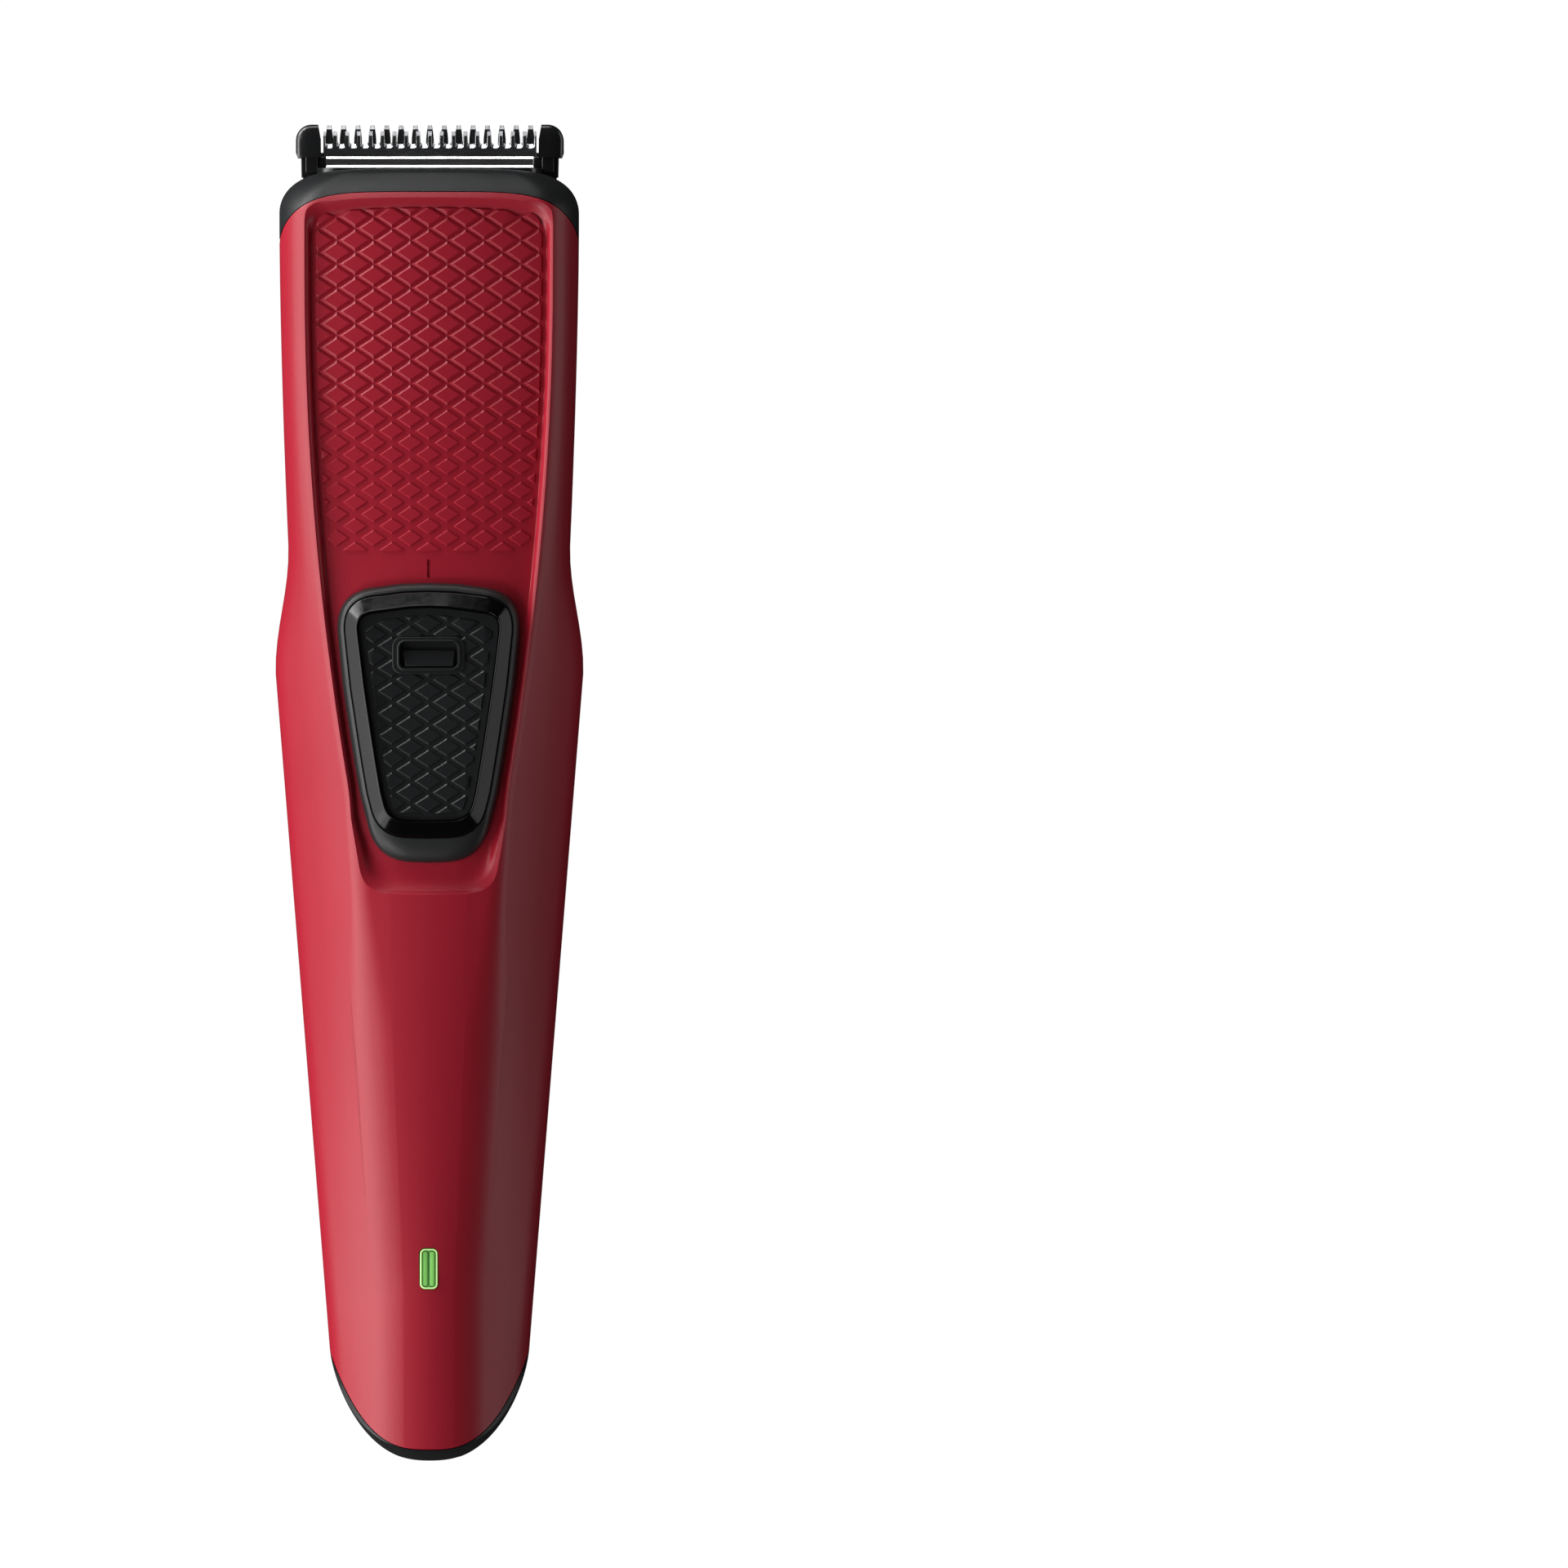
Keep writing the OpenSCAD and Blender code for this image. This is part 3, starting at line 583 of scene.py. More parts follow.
def screw_holes():
    """Through holes and the seats of the screw heads, whose rims open out."""
    holes = [prism("hole", circle(x, y, SCREW_HOLE_R), -1, 20) for x, y in SCREWS]
    for x, y in SCREWS:
        seat = circle(x, y, SCREW_SEAT_R)
        layers = [(inset(seat, -0.5), -0.4), (inset(seat, -0.3), 0.1), (seat, 0.4), (seat, 7.2)]
        holes.append(plan_loft("seat", layers))
    return holes


def rear_housing(material):
    shell = body_solid("rear_housing_shell", 0, 4)
    cut(shell, inner_space("inside"), front_region("front plan", SEAM_GAP))
    bosses = joined("bosses", [prism("boss", circle(x, y, BOSS_R), -1, 12) for x, y in SCREWS])
    combine(bosses, [body_solid("within wall", WALL / 2, 1)], "INTERSECT")
    unite(shell, bosses)
    cut(shell, *screw_holes())
    mouth = prism("mouth", round_rect(0, 0, 27.2, 10, 3, 8), 0, 19)
    inlet = prism("inlet", round_rect(0, 0, 7.4, 7.4, 3.69, 12), 0, 30)
    notch = round_rect(0, NOTCH_Y, 9, 2, 0.6, 4)
    below = [(-30, -100), (30, -100), (30, 100), (-30, 100)]
    cut(shell,
        along_y(mouth, 0, 66, 16),
        prism("notch", notch, -2, back_height(NOTCH_Y) + 1),
        along_y(inlet, 0, -90, TAIL_Z),
        prism("below", below, -5, 0))
    finish_piece(shell, "housing", "rear_housing", material)


# ---- Light lens ----

def led_lens(material, rim_material):
    """Lens with a bright rim round two upright ribs."""
    foot, top = low_mm("led_lens").z, high_mm("led_lens").z
    outline = round_rect(0, LENS_Y, 2.1, 4.8, 0.6)
    lens = rounded_prism("led_lens_ribbed", outline, foot, top, 0.12)
    pocket = round_rect(0, LENS_Y, 1.72, 4.42, 0.45)
    cut(lens, prism("pocket", pocket, top - 0.5, top + 0.1))
    for sx in (-1, 1):
        rib = round_rect(sx * 0.42, LENS_Y, 0.78, 4.36, 0.34, 6)
        unite(lens, rounded_prism("rib", rib, top - 1, top - 0.1, 0.3, steps=5))
    finish_piece(lens, "housing", "led_lens", material, smooth=50)
    lens.data.materials.append(rim_material)
    for face in lens.data.polygons:
        # the ribs end just below the rim
        if face.center.z > (top - 0.09) * MM:
            face.material_index = 1


# ---- Slider ----

def slider_outline(side, top, bottom):
    """Outline of the slider, moved in at its sides, top and bottom."""
    low, high = bottom - 8.25, 24.1 - top
    low_corner = (8.2 - side + 0.245 * low, low + 0.2)
    high_corner = (11.25 - side, high)
    right = [(0, low)]
    right += bend((0, low), low_corner, (8.2 - side, 0), max(4.2 - 0.9 * side, 1), 12)
    right += [(x - side, y) for x, y in ((8.2, 0), (8.8, 3.5), (9.35, 7), (9.8, 10), (10.2, 12.7))]
    right += bend((10.5 - side, 15), high_corner, (0, high + 0.9), max(5.2 - 1.2 * side, 1.4), 12)
    right += [(3.4 - 0.4 * side, high + 0.79), (0, high + 0.9)]
    return both_sides(right)


# Height above the slider's foot, and how far in it stands at its sides, top and bottom. The satin
# skirt ends in a groove, and the shiny band rises from it.
SKIRT = [
    (0.0, 0.0, 0.0, 0.0), (0.3, 0.02, 0.04, 0.1), (0.55, 0.07, 0.11, 0.35),
    (0.76, 0.15, 0.2, 0.75), (0.94, 0.26, 0.33, 1.25), (1.09, 0.42, 0.5, 1.8),
    (1.20, 0.62, 0.7, 2.35), (1.28, 0.80, 0.88, 2.8), (1.22, 0.86, 0.95, 2.9),
    (1.22, 0.94, 1.03, 3.0),
]
BAND = [
    (1.40, 0.99, 1.08, 3.06), (1.52, 1.10, 1.19, 3.18), (2.54, 2.28, 2.53, 4.58),
    (2.66, 2.40, 2.66, 4.70), (2.70, 2.48, 2.74, 4.78), (2.66, 2.55, 2.82, 4.84),
]
SKIRT_TOP = 1.3


def slider_button(skirt_material, band_material):
    """Ring of the slider, with the stem that reaches through the panel's slot."""
    foot = low_mm("slider_pad").z - PAD_ABOVE_FOOT

    def layer(outline, h):
        """The foot follows the crowned panel, and the band above the skirt is flat."""
        return outline, lambda x, y: foot + h - 0.9 * fall(x, y) * clamp(1 - h / SKIRT_TOP)

    sole = slider_outline(0, 0, 0)
    layers = [layer(shrunk(sole, share, 8), 0) for share in (0.02, 0.2, 0.4, 0.6, 0.8)]
    layers += [layer(slider_outline(*insets), h) for h, *insets in SKIRT + BAND]
    ring = plan_loft("slider_button_ring", layers)
    pocket = slider_outline(2.6, 2.87, 4.9)
    stem = [(-1.9, 5), (1.9, 5), (1.9, 9), (-1.9, 9)]
    cut(ring, prism("pocket", pocket, foot + PAD_ABOVE_FOOT, foot + 4))
    unite(ring, prism("stem", stem, foot - 1.5, foot + 0.5))
    finish_piece(ring, "slider", "slider_button", band_material, smooth=28)
    ring.data.materials.append(skirt_material)
    for face in ring.data.polygons:
        # the level floor of the groove stays as shiny as the band
        if face.center.z < (foot + SKIRT_TOP) * MM and face.normal.z < 0.999:
            face.material_index = 1


def pad_tiles(floor):
    """Diamonds of the pad, which leave the window free."""
    region = slider_outline(3.5, 3.85, 5.75)
    pitch = (4.35, 2.68)
    first_y, rows, columns, rim = -1.25 - pitch[1], 22, 3, 0.1
    foot, top, height = 0.22, 0.40, 0.15

    def in_window(x, y):
        return abs(x) < 3.2 and abs(y - 16.3) < 1.4

    return tile_field("tiles", region, pitch, first_y, rows, columns,
                      lambda y: (foot, top, height), lambda x, y: floor, rim, in_window)


def pad_window(pad, floor):
    """Raised block with a rim, and a pocket in it with a sloping nub."""
    block = round_rect(0, 16.35, 8.6, 4.4, 1.1)
    unite(pad, rounded_prism("block", block, floor - 0.3, floor + 0.32, 0.12))
    rim = round_rect(0.05, 16.35, 7.6, 3.75, 1.0)
    unite(pad, rounded_prism("rim", rim, floor - 0.3, floor + 0.5, 0.17))
    pocket = round_rect(0.05, 16.4, 6.9, 3.05, 0.7)
    cut(pad, plan_loft("pocket", [
        (inset(pocket, 0.15), floor - 0.55), (pocket, floor + 0.35),
        (inset(pocket, -0.12), floor + 0.52),
    ]))
    near_y = 15.05
    nub = [(-2.75, near_y), (2.95, near_y), (3.15, 17.0), (-3.0, 17.0)]
    wedge = rounded_prism("wedge", nub, floor - 0.7, floor + 0.32, 0.1)
    for v in wedge.data.vertices:
        if v.co.z > floor:
            v.co.z -= 0.22 * (v.co.y - near_y)
    unite(pad, wedge)


def slider_pad(material):
    low, high = low_mm("slider_pad"), high_mm("slider_pad")
    floor = high.z - 0.27
    outline = slider_outline(2.66, 2.94, 4.97)
    pad = rounded_prism("slider_pad_diamonds", outline, low.z, floor, 0.1)
    unite(pad, pad_tiles(floor))
    pad_window(pad, floor)
    finish_piece(pad, "slider", "slider_pad", material)


# ---- Blade head ----

# How far in from the cap's outer edge, and how far below its top
CAP_DOME = [(0, 0.62), (0.04, 0.52), (0.34, 0.26), (0.5, 0.17), (1.0, 0.07), (1.7, 0.0)]
CAP_ROUND = 1.9  # radius of the caps' outer corners at the blade end
CAP_X = 13.36  # inner side of the caps
CHEEK_X = 15.3  # outer side of the cheeks, which stand behind the caps


def end_cap(sx, foot, half):
    """Rounded end cap. Its domed upper part reaches over the end of the cutter."""
    arc = [(half - CAP_ROUND + CAP_ROUND * cos(pi * i / 24),
            END_Y - CAP_ROUND + CAP_ROUND * sin(pi * i / 24)) for i in range(13)]
    lower = [(CAP_X, 75.7), (15.75, 75.7), (half, 76.3)] + arc + [(13.52, END_Y), (CAP_X, 77.9)]
    upper = [(12.97, 75.72), (15.75, 75.72), (half, 76.3)] + arc + [(13.3, END_Y), (12.99, 77.9)]
    # the dome falls only towards the outer edge, so it starts wider than the cap and is cut to it
    wide = [(9.5, 72), (half, 72), (half, 76.3)] + arc + [(11, END_Y), (9.5, END_Y - 1)]
    wide = on_side(sx, wide)
    layers = [(wide, 13.46)] + [(inset(wide, d), 16 - drop) for d, drop in CAP_DOME]
    dome = plan_loft("cap top", layers)
    combine(dome, [prism("cap plan", on_side(sx, upper), 13, 17)], "INTERSECT")
    return [rounded_prism("cap", on_side(sx, lower), foot, 15.2, 0.1, 0.3, steps=3), dome]


def head_side(sx, foot):
    """Web that follows the collar's silhouette, tongue, cheek, strip's lug and cutter's stop."""
    web = [(CHEEK_X, 75.72), (14.2, 75.72), (14.2, 74.45), (10.2, 74.45)]
    stations = (73.95, 73.85, 73.7, 73.5, 73.3, 73.1)
    web += [(min(straight_half_w(y) * top_side(y) + 0.12, CHEEK_X), y) for y in stations]
    tongue = round_rect(sx * 14.08, 74.9, 1.42, 2.0, 0.12, 3)
    cheek = [(14.86, 73.4), (CHEEK_X, 73.4), (15.36, 75.9), (14.86, 75.9)]
    lug = round_rect(sx * 11.6, 75.2, 1.6, 1.2, 0.1, 2)
    stop = round_rect(12.85, 75.15, 1.15, 1.4, 0.4, 6)
    return [
        prism("web", on_side(sx, web), 11, 14.4),
        rounded_prism("tongue", tongue, foot, 15.7, 0.12),
        rounded_prism("cheek", on_side(sx, cheek), foot, 14, 0.1),
        rounded_prism("lug", lug, 13.43, 14.78, 0.05),
        rounded_prism("stop", on_side(sx, stop), 13.43, 15.3, 0.2),
    ]


def head_frame(material):
    """Plug that fits the housing's mouth, flange, shelf, and the parts of each side."""
    foot, half = low_mm("head_frame").z, high_mm("head_frame").x
    throat = round_rect(0, 0, 26.8, 9.6, 2.8, 8)
    plug = along_y(rounded_prism("head_frame_body", throat, 0, 4.25, 0.15), 0, 70.2, 16)
    parts = [
        rounded_prism("flange", round_rect(0, 74.6, 29.6, 0.6, 0.1, 2), 10.4, 14.6, 0.1),
        rounded_prism("shelf", round_rect(0, 75.3, 27.1, 1.8, 0.1, 2), 10.4, 12, 0.05),
    ]
    for sx in (-1, 1):
        parts += end_cap(sx, foot, half) + head_side(sx, foot)
    unite(plug, *parts)
    yoke = [(-6.2, 69), (6.2, 69), (6.2, 75), (-6.2, 75)]
    upper = [(-11, 69), (11, 69), (11, 73), (-11, 73)]
    cut(plug, prism("yoke room", yoke, 11.9, 18.3), prism("top room", upper, 17, 19))
    finish_piece(plug, "head", "head_frame", material)


GUARD_TEETH = 15
GUARD_SPAN = 24  # between the middles of the outermost teeth
# Place along a guard tooth, half its width, its height, and half the width of its flat top
GUARD_TOOTH = [
    (76.2, 0.49, 0.8, 0.45), (78.0, 0.46, 0.8, 0.42), (78.7, 0.39, 0.8, 0.35),
    (79.14, 0.32, 0.78, 0.28), (79.35, 0.28, 0.60, 0.23), (79.62, 0.23, 0.37, 0.17),
]
TOOTH_BEVEL = 0.06


def guard_tooth(x, foot):
    rings = []
    for y, half, top, flat in GUARD_TOOTH:
        edge = top - TOOTH_BEVEL
        rings.append([
            (x, y, foot + top), (x + flat, y, foot + top), (x + half, y, foot + edge),
            (x + half * 0.9, y, foot), (x - half * 0.9, y, foot), (x - half, y, foot + edge),
            (x - flat, y, foot + top),
        ])
    return loft("tooth", rings)


def guard(material):
    """Fixed comb of long teeth whose faces are ground to a taper."""
    foot, top = low_mm("guard").z, high_mm("guard").z
    spine = [(-13.2, 74.95), (13.2, 74.95), (13.2, 76.35), (-13.2, 76.35)]
    base = rounded_prism("guard_comb", spine, foot, top, 0.05)
    pitch = GUARD_SPAN / (GUARD_TEETH - 1)
    teeth = [guard_tooth(-GUARD_SPAN / 2 + i * pitch, foot) for i in range(GUARD_TEETH)]
    unite(base, joined("teeth", teeth))
    finish_piece(base, "head", "guard", material, smooth=20)


CUTTER_TEETH = 19
GAP_CORNER = 0.3  # radius of the corners at the root of a gap


def cutter_gap(x, low, high):
    """Gap between two teeth of the cutter, whose root is ground at a slant."""
    r = GAP_CORNER
    layers = []
    for z, root, half in (
        (low.z - 0.1, 77.38, 0.42), (high.z - 0.43, 77.36, 0.42), (high.z - 0.06, 76.93, 0.44),
        (high.z, 76.86, 0.50), (high.z + 0.1, 76.75, 0.60),
    ):
        turns = (0, 0.4, 0.8, 1.2, pi / 2)
        gap = [(x + half + 0.08, high.y + 0.5)]
        gap += [(x + half - r + r * cos(a), root + r - r * sin(a)) for a in turns]
        gap += [(x - half + r - r * sin(a), root + r - r * cos(a)) for a in turns]
        gap.append((x - half - 0.08, high.y + 0.5))
        layers.append((gap, z))
    return plan_loft("gap", layers)


def cutter(material):
    """Sliding comb of short pointed teeth with wide square roots."""
    low, high = low_mm("cutter"), high_mm("cutter")
    outline = [(low.x, low.y), (high.x, low.y), (high.x, high.y), (low.x, high.y)]
    plate = rounded_prism("cutter_comb", outline, low.z, high.z, 0.05, steps=2)
    pitch = 2 * 12.69 / (CUTTER_TEETH - 1)
    first_x = high.x - 0.01
    gaps = []
    for i in range(CUTTER_TEETH - 1):
        gaps.append(cutter_gap(first_x - (i + 0.5) * pitch, low, high))
    # the tips slant down towards the guard
    past_y, over_z = high.y + 0.1, high.z + 0.01
    slant = [(high.y - 0.55, over_z), (past_y, over_z), (past_y, low.z + 0.1)]
    gaps.append(loft("slant", [[(x, y, z) for y, z in slant] for x in (20, -20)]))
    cut(plate, *gaps)
    finish_piece(plate, "cutter", "cutter", material, smooth=20)


LEVEL = 0.97  # faces whose normal's z is above this are the strip's flat step


def pressure_strip(material, brushed):
    """Polished strip with two bevels and a brushed flat step between them."""
    low, high = low_mm("pressure_strip"), high_mm("pressure_strip")
    profile = [
        (low.y, low.z), (high.y, low.z), (high.y, low.z + 0.04), (high.y - 0.27, low.z + 0.23),
        (low.y + 0.32, low.z + 0.25), (low.y + 0.04, high.z - 0.01), (low.y, high.z - 0.03),
    ]
    ends = [low.x, low.x + 0.1, high.x - 0.1, high.x]
    rings = [[(x, y, z) for y, z in reversed(profile)] for x in ends]
    strip = loft("pressure_strip_rolled", rings)
    finish_piece(strip, "head", "pressure_strip", material, smooth=12)
    strip.data.materials.append(brushed)
    for face in strip.data.polygons:
        if face.normal.z > LEVEL:
            face.material_index = 1


# ---- Materials ----

def node_material(name):
    """New material, with its nodes and links."""
    material = bpy.data.materials.new(name)
    material.use_nodes = True
    return material, material.node_tree.nodes, material.node_tree.links


def noise(nodes, links, scale, detail=3.0, stretch=(1, 1, 1)):
    """Noise in the piece's own coordinates, stretched along its axes."""
    place = nodes.new("ShaderNodeTexCoord")
    mapping = nodes.new("ShaderNodeMapping")
    mapping.inputs["Scale"].default_value = stretch
    texture = nodes.new("ShaderNodeTexNoise")
    texture.inputs["Scale"].default_value = scale
    texture.inputs["Detail"].default_value = detail
    links.new(place.outputs["Object"], mapping.inputs["Vector"])
    links.new(mapping.outputs["Vector"], texture.inputs["Vector"])
    return texture.outputs["Fac"]


def ramp(nodes, links, factor, low, high, start=0.35, end=0.65):
    """Spreads the middle of a noise's range over low to high."""
    band = nodes.new("ShaderNodeMapRange")
    band.inputs["From Min"].default_value = start
    band.inputs["From Max"].default_value = end
    band.inputs["To Min"].default_value = low
    band.inputs["To Max"].default_value = high
    links.new(factor, band.inputs["Value"])
    return band.outputs["Result"]


def mix_colour(nodes, links, factor, first, second):
    mixer = nodes.new("ShaderNodeMix")
    mixer.data_type = "RGBA"
    mixer.inputs["A"].default_value = (*first, 1)
    mixer.inputs["B"].default_value = (*second, 1)
    links.new(factor, mixer.inputs["Factor"])
    return mixer.outputs["Result"]


GRAIN_DEPTH = 0.00002  # metres, as every distance in a material is


def surface(name, first, second, roughness, spread=0.04, metallic=0.0, coat=0.0, specular=0.5,
            cloud=60, grain=3000, grain_stretch=(1, 1, 1), bump=0.05):
    """Moulded or ground surface: two close colours in clouds, and grain in roughness and relief.
    cloud and grain are the scales of their noises."""
    material, nodes, links = node_material(name)
    shader = nodes["Principled BSDF"]
    clouds = noise(nodes, links, cloud)
    colour = mix_colour(nodes, links, ramp(nodes, links, clouds, 0, 1), first, second)
    links.new(colour, shader.inputs["Base Color"])
    fine = noise(nodes, links, grain, 2, grain_stretch)
    rough = ramp(nodes, links, fine, roughness - spread, roughness + spread)
    links.new(rough, shader.inputs["Roughness"])
    relief = nodes.new("ShaderNodeBump")
    relief.inputs["Strength"].default_value = bump
    relief.inputs["Distance"].default_value = GRAIN_DEPTH
    links.new(fine, relief.inputs["Height"])
    links.new(relief.outputs["Normal"], shader.inputs["Normal"])
    shader.inputs["Metallic"].default_value = metallic
    shader.inputs["Coat Weight"].default_value = coat
    shader.inputs["Coat Roughness"].default_value = 0.12
    shader.inputs["Specular IOR Level"].default_value = specular
    return material


def lens_material(name, bright, dark, low_glow, high_glow):
    """Lit green plastic with painted shade: its colour turns darker on the steep sides of its ribs,
    by how far each face turns from straight up.
    """
    material, nodes, links = node_material(name)
    shader = nodes["Principled BSDF"]
    shape = nodes.new("ShaderNodeNewGeometry")
    split = nodes.new("ShaderNodeSeparateXYZ")
    links.new(shape.outputs["Normal"], split.inputs["Vector"])
    upward = nodes.new("ShaderNodeMapRange")
    upward.inputs["From Min"].default_value = 0.45
    links.new(split.outputs["Z"], upward.inputs["Value"])
    # painted shade: faces that turn away from straight up take the darker colour
    colour = mix_colour(nodes, links, upward.outputs["Result"], dark, bright)
    cloudy = noise(nodes, links, 900, 2, (1, 0.3, 1))
    links.new(colour, shader.inputs["Base Color"])
    links.new(colour, shader.inputs["Emission Color"])
    links.new(ramp(nodes, links, cloudy, low_glow, high_glow), shader.inputs["Emission Strength"])
    shader.inputs["Roughness"].default_value = 0.25
    return material


def housing_materials():
    """Mouldings that are seen from outside, and the lens."""
    return {
        "red_shell": surface(
            "satin_red", (0.49, 0.017, 0.038), (0.46, 0.0155, 0.035), 0.36, 0.03,
            cloud=45, grain=5200),
        "black_shell": surface(
            "satin_black", (0.020, 0.021, 0.022), (0.016, 0.017, 0.018), 0.42, grain=4200),
        "gloss_black": surface(
            "gloss_black_plastic", (0.003, 0.003, 0.0035), (0.002, 0.002, 0.0025), 0.14, 0.02,
            specular=0.26, cloud=80, grain=1500, bump=0.01),
        "skirt_black": surface(
            "slider_skirt_black", (0.022, 0.023, 0.024), (0.017, 0.018, 0.019), 0.40, grain=4000),
        "pad_black": surface(
            "grip_black_rubber", (0.013, 0.014, 0.015), (0.010, 0.011, 0.012), 0.4,
            grain=6000, bump=0.06),
        "head_black": surface(
            "head_black_plastic", (0.014, 0.0145, 0.0155), (0.010, 0.0105, 0.0115), 0.24, 0.03,
            specular=0.9, grain=3800, bump=0.04),
        # the second colour of each lens is painted shade for its steep faces
        "green_lens": lens_material(
            "lit_green_lens", (0.21, 0.55, 0.12), (0.008, 0.09, 0.014), 0.38, 0.5),
        "green_rim": lens_material(
            "lit_lens_rim", (0.52, 0.80, 0.32), (0.3, 0.6, 0.15), 0.62, 0.74),
    }


def blade_materials():
    """Ground and polished steel of the blade head. The grinding marks run along the long axis of
    the guard's teeth and across the cutter's."""
    return {
        "guard_steel": surface(
            "ground_guard_steel", (0.36, 0.365, 0.375), (0.25, 0.255, 0.265), 0.26, 0.07,
            metallic=1.0, grain=1400, grain_stretch=(6, 0.6, 1), bump=0.1),
        "cutter_steel": surface(
            "ground_cutter_steel", (0.60, 0.61, 0.63), (0.48, 0.49, 0.51), 0.22, 0.06,
            metallic=1.0, grain=1400, grain_stretch=(0.5, 6, 1), bump=0.08),
        "brushed_steel": surface(
            "brushed_spring_steel", (0.27, 0.275, 0.28), (0.23, 0.235, 0.24), 0.62, 0.06,
            metallic=0.3, grain=1500, grain_stretch=(0.3, 6, 6), bump=0.1),
        "polished_steel": surface(
            "polished_spring_steel", (0.86, 0.865, 0.875), (0.78, 0.785, 0.80), 0.18, 0.05,
            metallic=1.0, grain=1200, grain_stretch=(0.4, 6, 6)),
    }


def inner_materials():
    """What the CAD nodes inside the housing are made of."""
    plated = {"metallic": 1.0, "grain": 900, "bump": 0.12}
    return {
        "dark_plastic": surface(
            "dark_grey_nylon", (0.040, 0.042, 0.046), (0.030, 0.031, 0.034), 0.5, bump=0.1),
        "white_plastic": surface(
            "natural_acetal", (0.74, 0.73, 0.69), (0.66, 0.65, 0.61), 0.4, grain=2500, bump=0.06),
        "plated_steel": surface(
            "zinc_plated_steel", (0.55, 0.56, 0.58), (0.44, 0.45, 0.47), 0.34, 0.08, **plated),
        "board_green": board_material(),
        "sleeve_blue": surface(
            "capacitor_sleeve", (0.045, 0.085, 0.24), (0.03, 0.06, 0.19), 0.35, cloud=150),
        # the second colour is painted shade for the grooves between the turns
        "copper": winding_material("enamelled_copper", (0.55, 0.24, 0.10), (0.22, 0.08, 0.03)),
        "cell_wrap": surface(
            "cell_shrink_wrap", (0.030, 0.150, 0.42), (0.022, 0.115, 0.35), 0.3,
            cloud=90, coat=0.4),
        "magnet": surface(
            "sintered_magnet", (0.055, 0.058, 0.064), (0.03, 0.032, 0.036), 0.55, 0.1,
            metallic=0.6, bump=0.3),
        "brass": surface(
            "tinned_brass", (0.62, 0.42, 0.16), (0.5, 0.33, 0.12), 0.3, 0.08, **plated),
        "lead_red": surface(
            "red_lead_sleeve", (0.36, 0.018, 0.022), (0.29, 0.013, 0.016), 0.42, cloud=200),
        "lead_black": surface(
            "black_lead_sleeve", (0.016, 0.016, 0.017), (0.011, 0.011, 0.012), 0.42, cloud=200),
        "socket_black": surface(
            "socket_black_nylon", (0.014, 0.014, 0.015), (0.010, 0.010, 0.011), 0.38, grain=3500),
    }


def board_material():
    """Green solder mask with copper tracks running along the board."""
    material, nodes, links = node_material("circuit_board_green")
    shader = nodes["Principled BSDF"]
    place = nodes.new("ShaderNodeTexCoord")
    tracks = nodes.new("ShaderNodeTexBrick")
    tracks.inputs["Scale"].default_value = 160
    tracks.inputs["Mortar Size"].default_value = 0.035
    tracks.inputs["Color1"].default_value = (0.012, 0.12, 0.040, 1)
    tracks.inputs["Color2"].default_value = (0.010, 0.10, 0.034, 1)
    tracks.inputs["Mortar"].default_value = (0.035, 0.24, 0.085, 1)
    links.new(place.outputs["Object"], tracks.inputs["Vector"])
    links.new(tracks.outputs["Color"], shader.inputs["Base Color"])
    fine = noise(nodes, links, 1800)
    links.new(ramp(nodes, links, fine, 0.28, 0.4), shader.inputs["Roughness"])
    return material


def winding_material(name, wire, gap):
    """Wound wire: fine turns beside each other along Y, with painted shade in the grooves between the
    turns.
    """
    material, nodes, links = node_material(name)
    shader = nodes["Principled BSDF"]
    place = nodes.new("ShaderNodeTexCoord")
    ridges = nodes.new("ShaderNodeTexWave")
    ridges.bands_direction = "Y"
    ridges.inputs["Scale"].default_value = 2400 / 6.3  # a turn every 0.8 mm
    ridges.inputs["Distortion"].default_value = 0.6
    links.new(place.outputs["Object"], ridges.inputs["Vector"])
    # painted shade: the grooves between the turns take the darker colour gap
    links.new(mix_colour(nodes, links, ridges.outputs["Fac"], gap, wire), shader.inputs["Base Color"])
    relief = nodes.new("ShaderNodeBump")
    relief.inputs["Strength"].default_value = 0.4
    relief.inputs["Distance"].default_value = 0.0001
    links.new(ridges.outputs["Fac"], relief.inputs["Height"])
    links.new(relief.outputs["Normal"], shader.inputs["Normal"])
    shader.inputs["Metallic"].default_value = 0.8
    shader.inputs["Roughness"].default_value = 0.35
    return material


def paint_cad_nodes(materials):
    """Gives each CAD node that stays the procedural material of its slot."""
    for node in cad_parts.values():
        for slot in node.material_slots:
            slot.material = materials[slot.material.name.split(".")[0]]


# ---- Stage ----

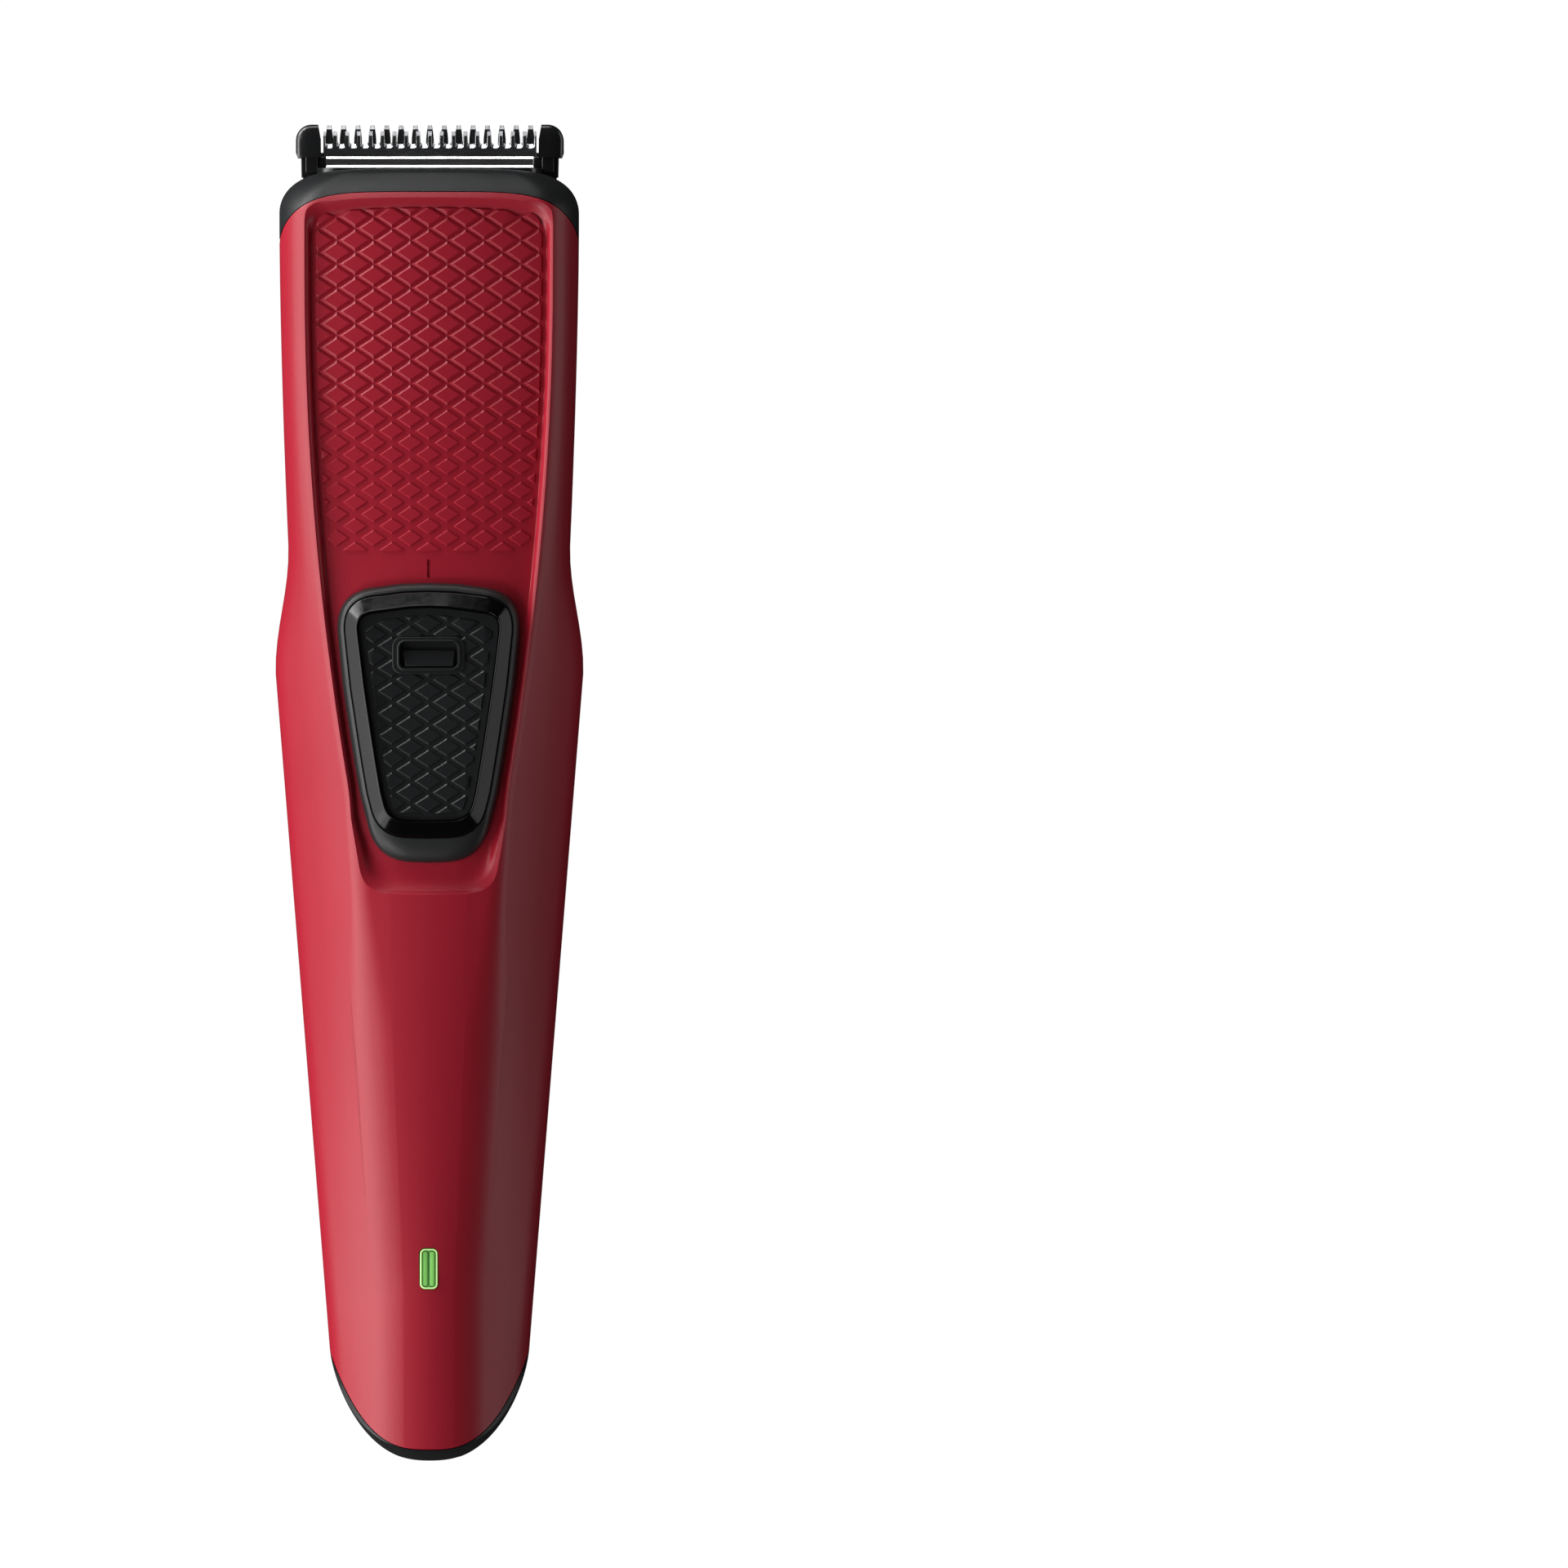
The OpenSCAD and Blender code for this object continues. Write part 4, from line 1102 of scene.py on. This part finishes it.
def stage_floor():
    """White table that stays pale in the picture, and lights the object only softly. It lies a hair
    below the resting face, so that the two never share a plane."""
    half, level = 4, -0.05 * MM
    paleness, camera_share = 1.07, 0.94
    corners = [(-half, -half, level), (half, -half, level), (half, half, level), (-half, half, level)]
    floor = mesh_object("table_top", corners, [(0, 1, 2, 3)])
    material, nodes, links = node_material("pale_table")
    shader = nodes["Principled BSDF"]
    fine = noise(nodes, links, 40)
    grey = mix_colour(nodes, links, fine, (0.04, 0.04, 0.04), (0.05, 0.05, 0.05))
    links.new(grey, shader.inputs["Base Color"])
    shader.inputs["Roughness"].default_value = 0.9
    shader.inputs["Specular IOR Level"].default_value = 0.1
    glow = nodes.new("ShaderNodeEmission")
    glow.inputs["Strength"].default_value = paleness
    path = nodes.new("ShaderNodeLightPath")
    share = nodes.new("ShaderNodeMath")
    share.operation = "MULTIPLY"
    share.inputs[1].default_value = camera_share
    links.new(path.outputs["Is Camera Ray"], share.inputs[0])
    blend = nodes.new("ShaderNodeMixShader")
    links.new(share.outputs["Value"], blend.inputs["Fac"])
    links.new(shader.outputs["BSDF"], blend.inputs[1])
    links.new(glow.outputs["Emission"], blend.inputs[2])
    links.new(blend.outputs["Shader"], nodes["Material Output"].inputs["Surface"])
    floor.data.materials.append(material)


# What the lights are aimed at, in metres
MIDDLE = (0, 0, 0.015)
BLADE = (0, 0.075, 0.02)


def area_light(name, place, target, size, power):
    """Rectangular light that faces the target."""
    light = bpy.data.lights.new(name, "AREA")
    light.shape = "RECTANGLE"
    light.size, light.size_y = size
    light.energy = power
    lamp = placed(name, light)
    lamp.location = place
    lamp.rotation_euler = (Vector(target) - Vector(place)).to_track_quat("-Z", "Y").to_euler()
    return lamp


def tilted(name, side_angle, distance, width, length, power, y=0.0):
    """Area light whose long side runs along Y, tilted from straight above towards -X."""
    a = radians(side_angle)
    place = (-distance * sin(a), y, distance * cos(a))
    lamp = area_light(name, place, MIDDLE, (width, length), power)
    back = Vector(MIDDLE) - Vector((place[0], 0, place[2]))
    lamp.rotation_euler = Euler((0, atan2(-back.x, -back.z), 0))


def stage_lights():
    """Strong soft light from the left, weak light from the right, and gleams for both ends."""
    tilted("key_left", 67, 0.8, 0.36, 1.4, 5.1, y=-0.25)
    tilted("gleam_left", 44, 0.8, 0.06, 1.4, 1.15, y=-0.25)
    tilted("low_left", 84, 0.7, 0.18, 1.2, 1.8)
    tilted("fill_right", -81, 0.9, 0.26, 1.4, 1.45)
    area_light("blade_left", (-0.75, 0.8, 0.16), BLADE, (0.7, 0.2), 5.0)
    area_light("blade_end", (-0.2, 0.94, 0.15), BLADE, (0.8, 0.13), 1.35)
    area_light("blade_high", (-0.42, 0.82, 0.37), BLADE, (1.15, 0.085), 1.35)
    area_light("tail_end", (-0.4, -0.65, 0.75), (0, 0, 0.02), (0.35, 0.25), 2.0)


def stage_world():
    """Surroundings that look white and give hardly any light, as in a product photograph."""
    as_light, as_seen = 0.03, 1.0
    world = bpy.data.worlds.new("studio")
    bpy.context.scene.world = world
    world.use_nodes = True
    nodes, links = world.node_tree.nodes, world.node_tree.links
    back = nodes["Background"]
    back.inputs["Color"].default_value = (1, 1, 1, 1)
    path = nodes.new("ShaderNodeLightPath")
    strength = nodes.new("ShaderNodeMapRange")
    strength.inputs["To Min"].default_value = as_light
    strength.inputs["To Max"].default_value = as_seen
    links.new(path.outputs["Is Camera Ray"], strength.inputs["Value"])
    links.new(strength.outputs["Result"], back.inputs["Strength"])


def stage_camera():
    """Straight above the front face, aimed beside the trimmer, which stands left in the picture."""
    frame_width = 0.1867  # metres across the picture at the height of the seam
    distance = 4.0
    aside, ahead = 0.0422, 0.0011
    camera = bpy.data.cameras.new("camera")
    camera.sensor_width = 36
    camera.lens = camera.sensor_width * distance / frame_width
    camera.clip_end = 20
    viewer = placed("camera", camera)
    viewer.location = (aside, ahead, distance + SEAM_Z * MM)
    bpy.context.scene.camera = viewer


def main():
    stage_camera()
    stage_floor()
    stage_lights()
    stage_world()
    bpy.context.scene.view_settings.view_transform = "Standard"
    materials = {**housing_materials(), **blade_materials(), **inner_materials()}
    paint_cad_nodes(materials)
    front_housing(materials["red_shell"])
    rear_housing(materials["black_shell"])
    led_lens(materials["green_lens"], materials["green_rim"])
    slider_button(materials["skirt_black"], materials["gloss_black"])
    slider_pad(materials["pad_black"])
    head_frame(materials["head_black"])
    guard(materials["guard_steel"])
    cutter(materials["cutter_steel"])
    pressure_strip(materials["polished_steel"], materials["brushed_steel"])


main()
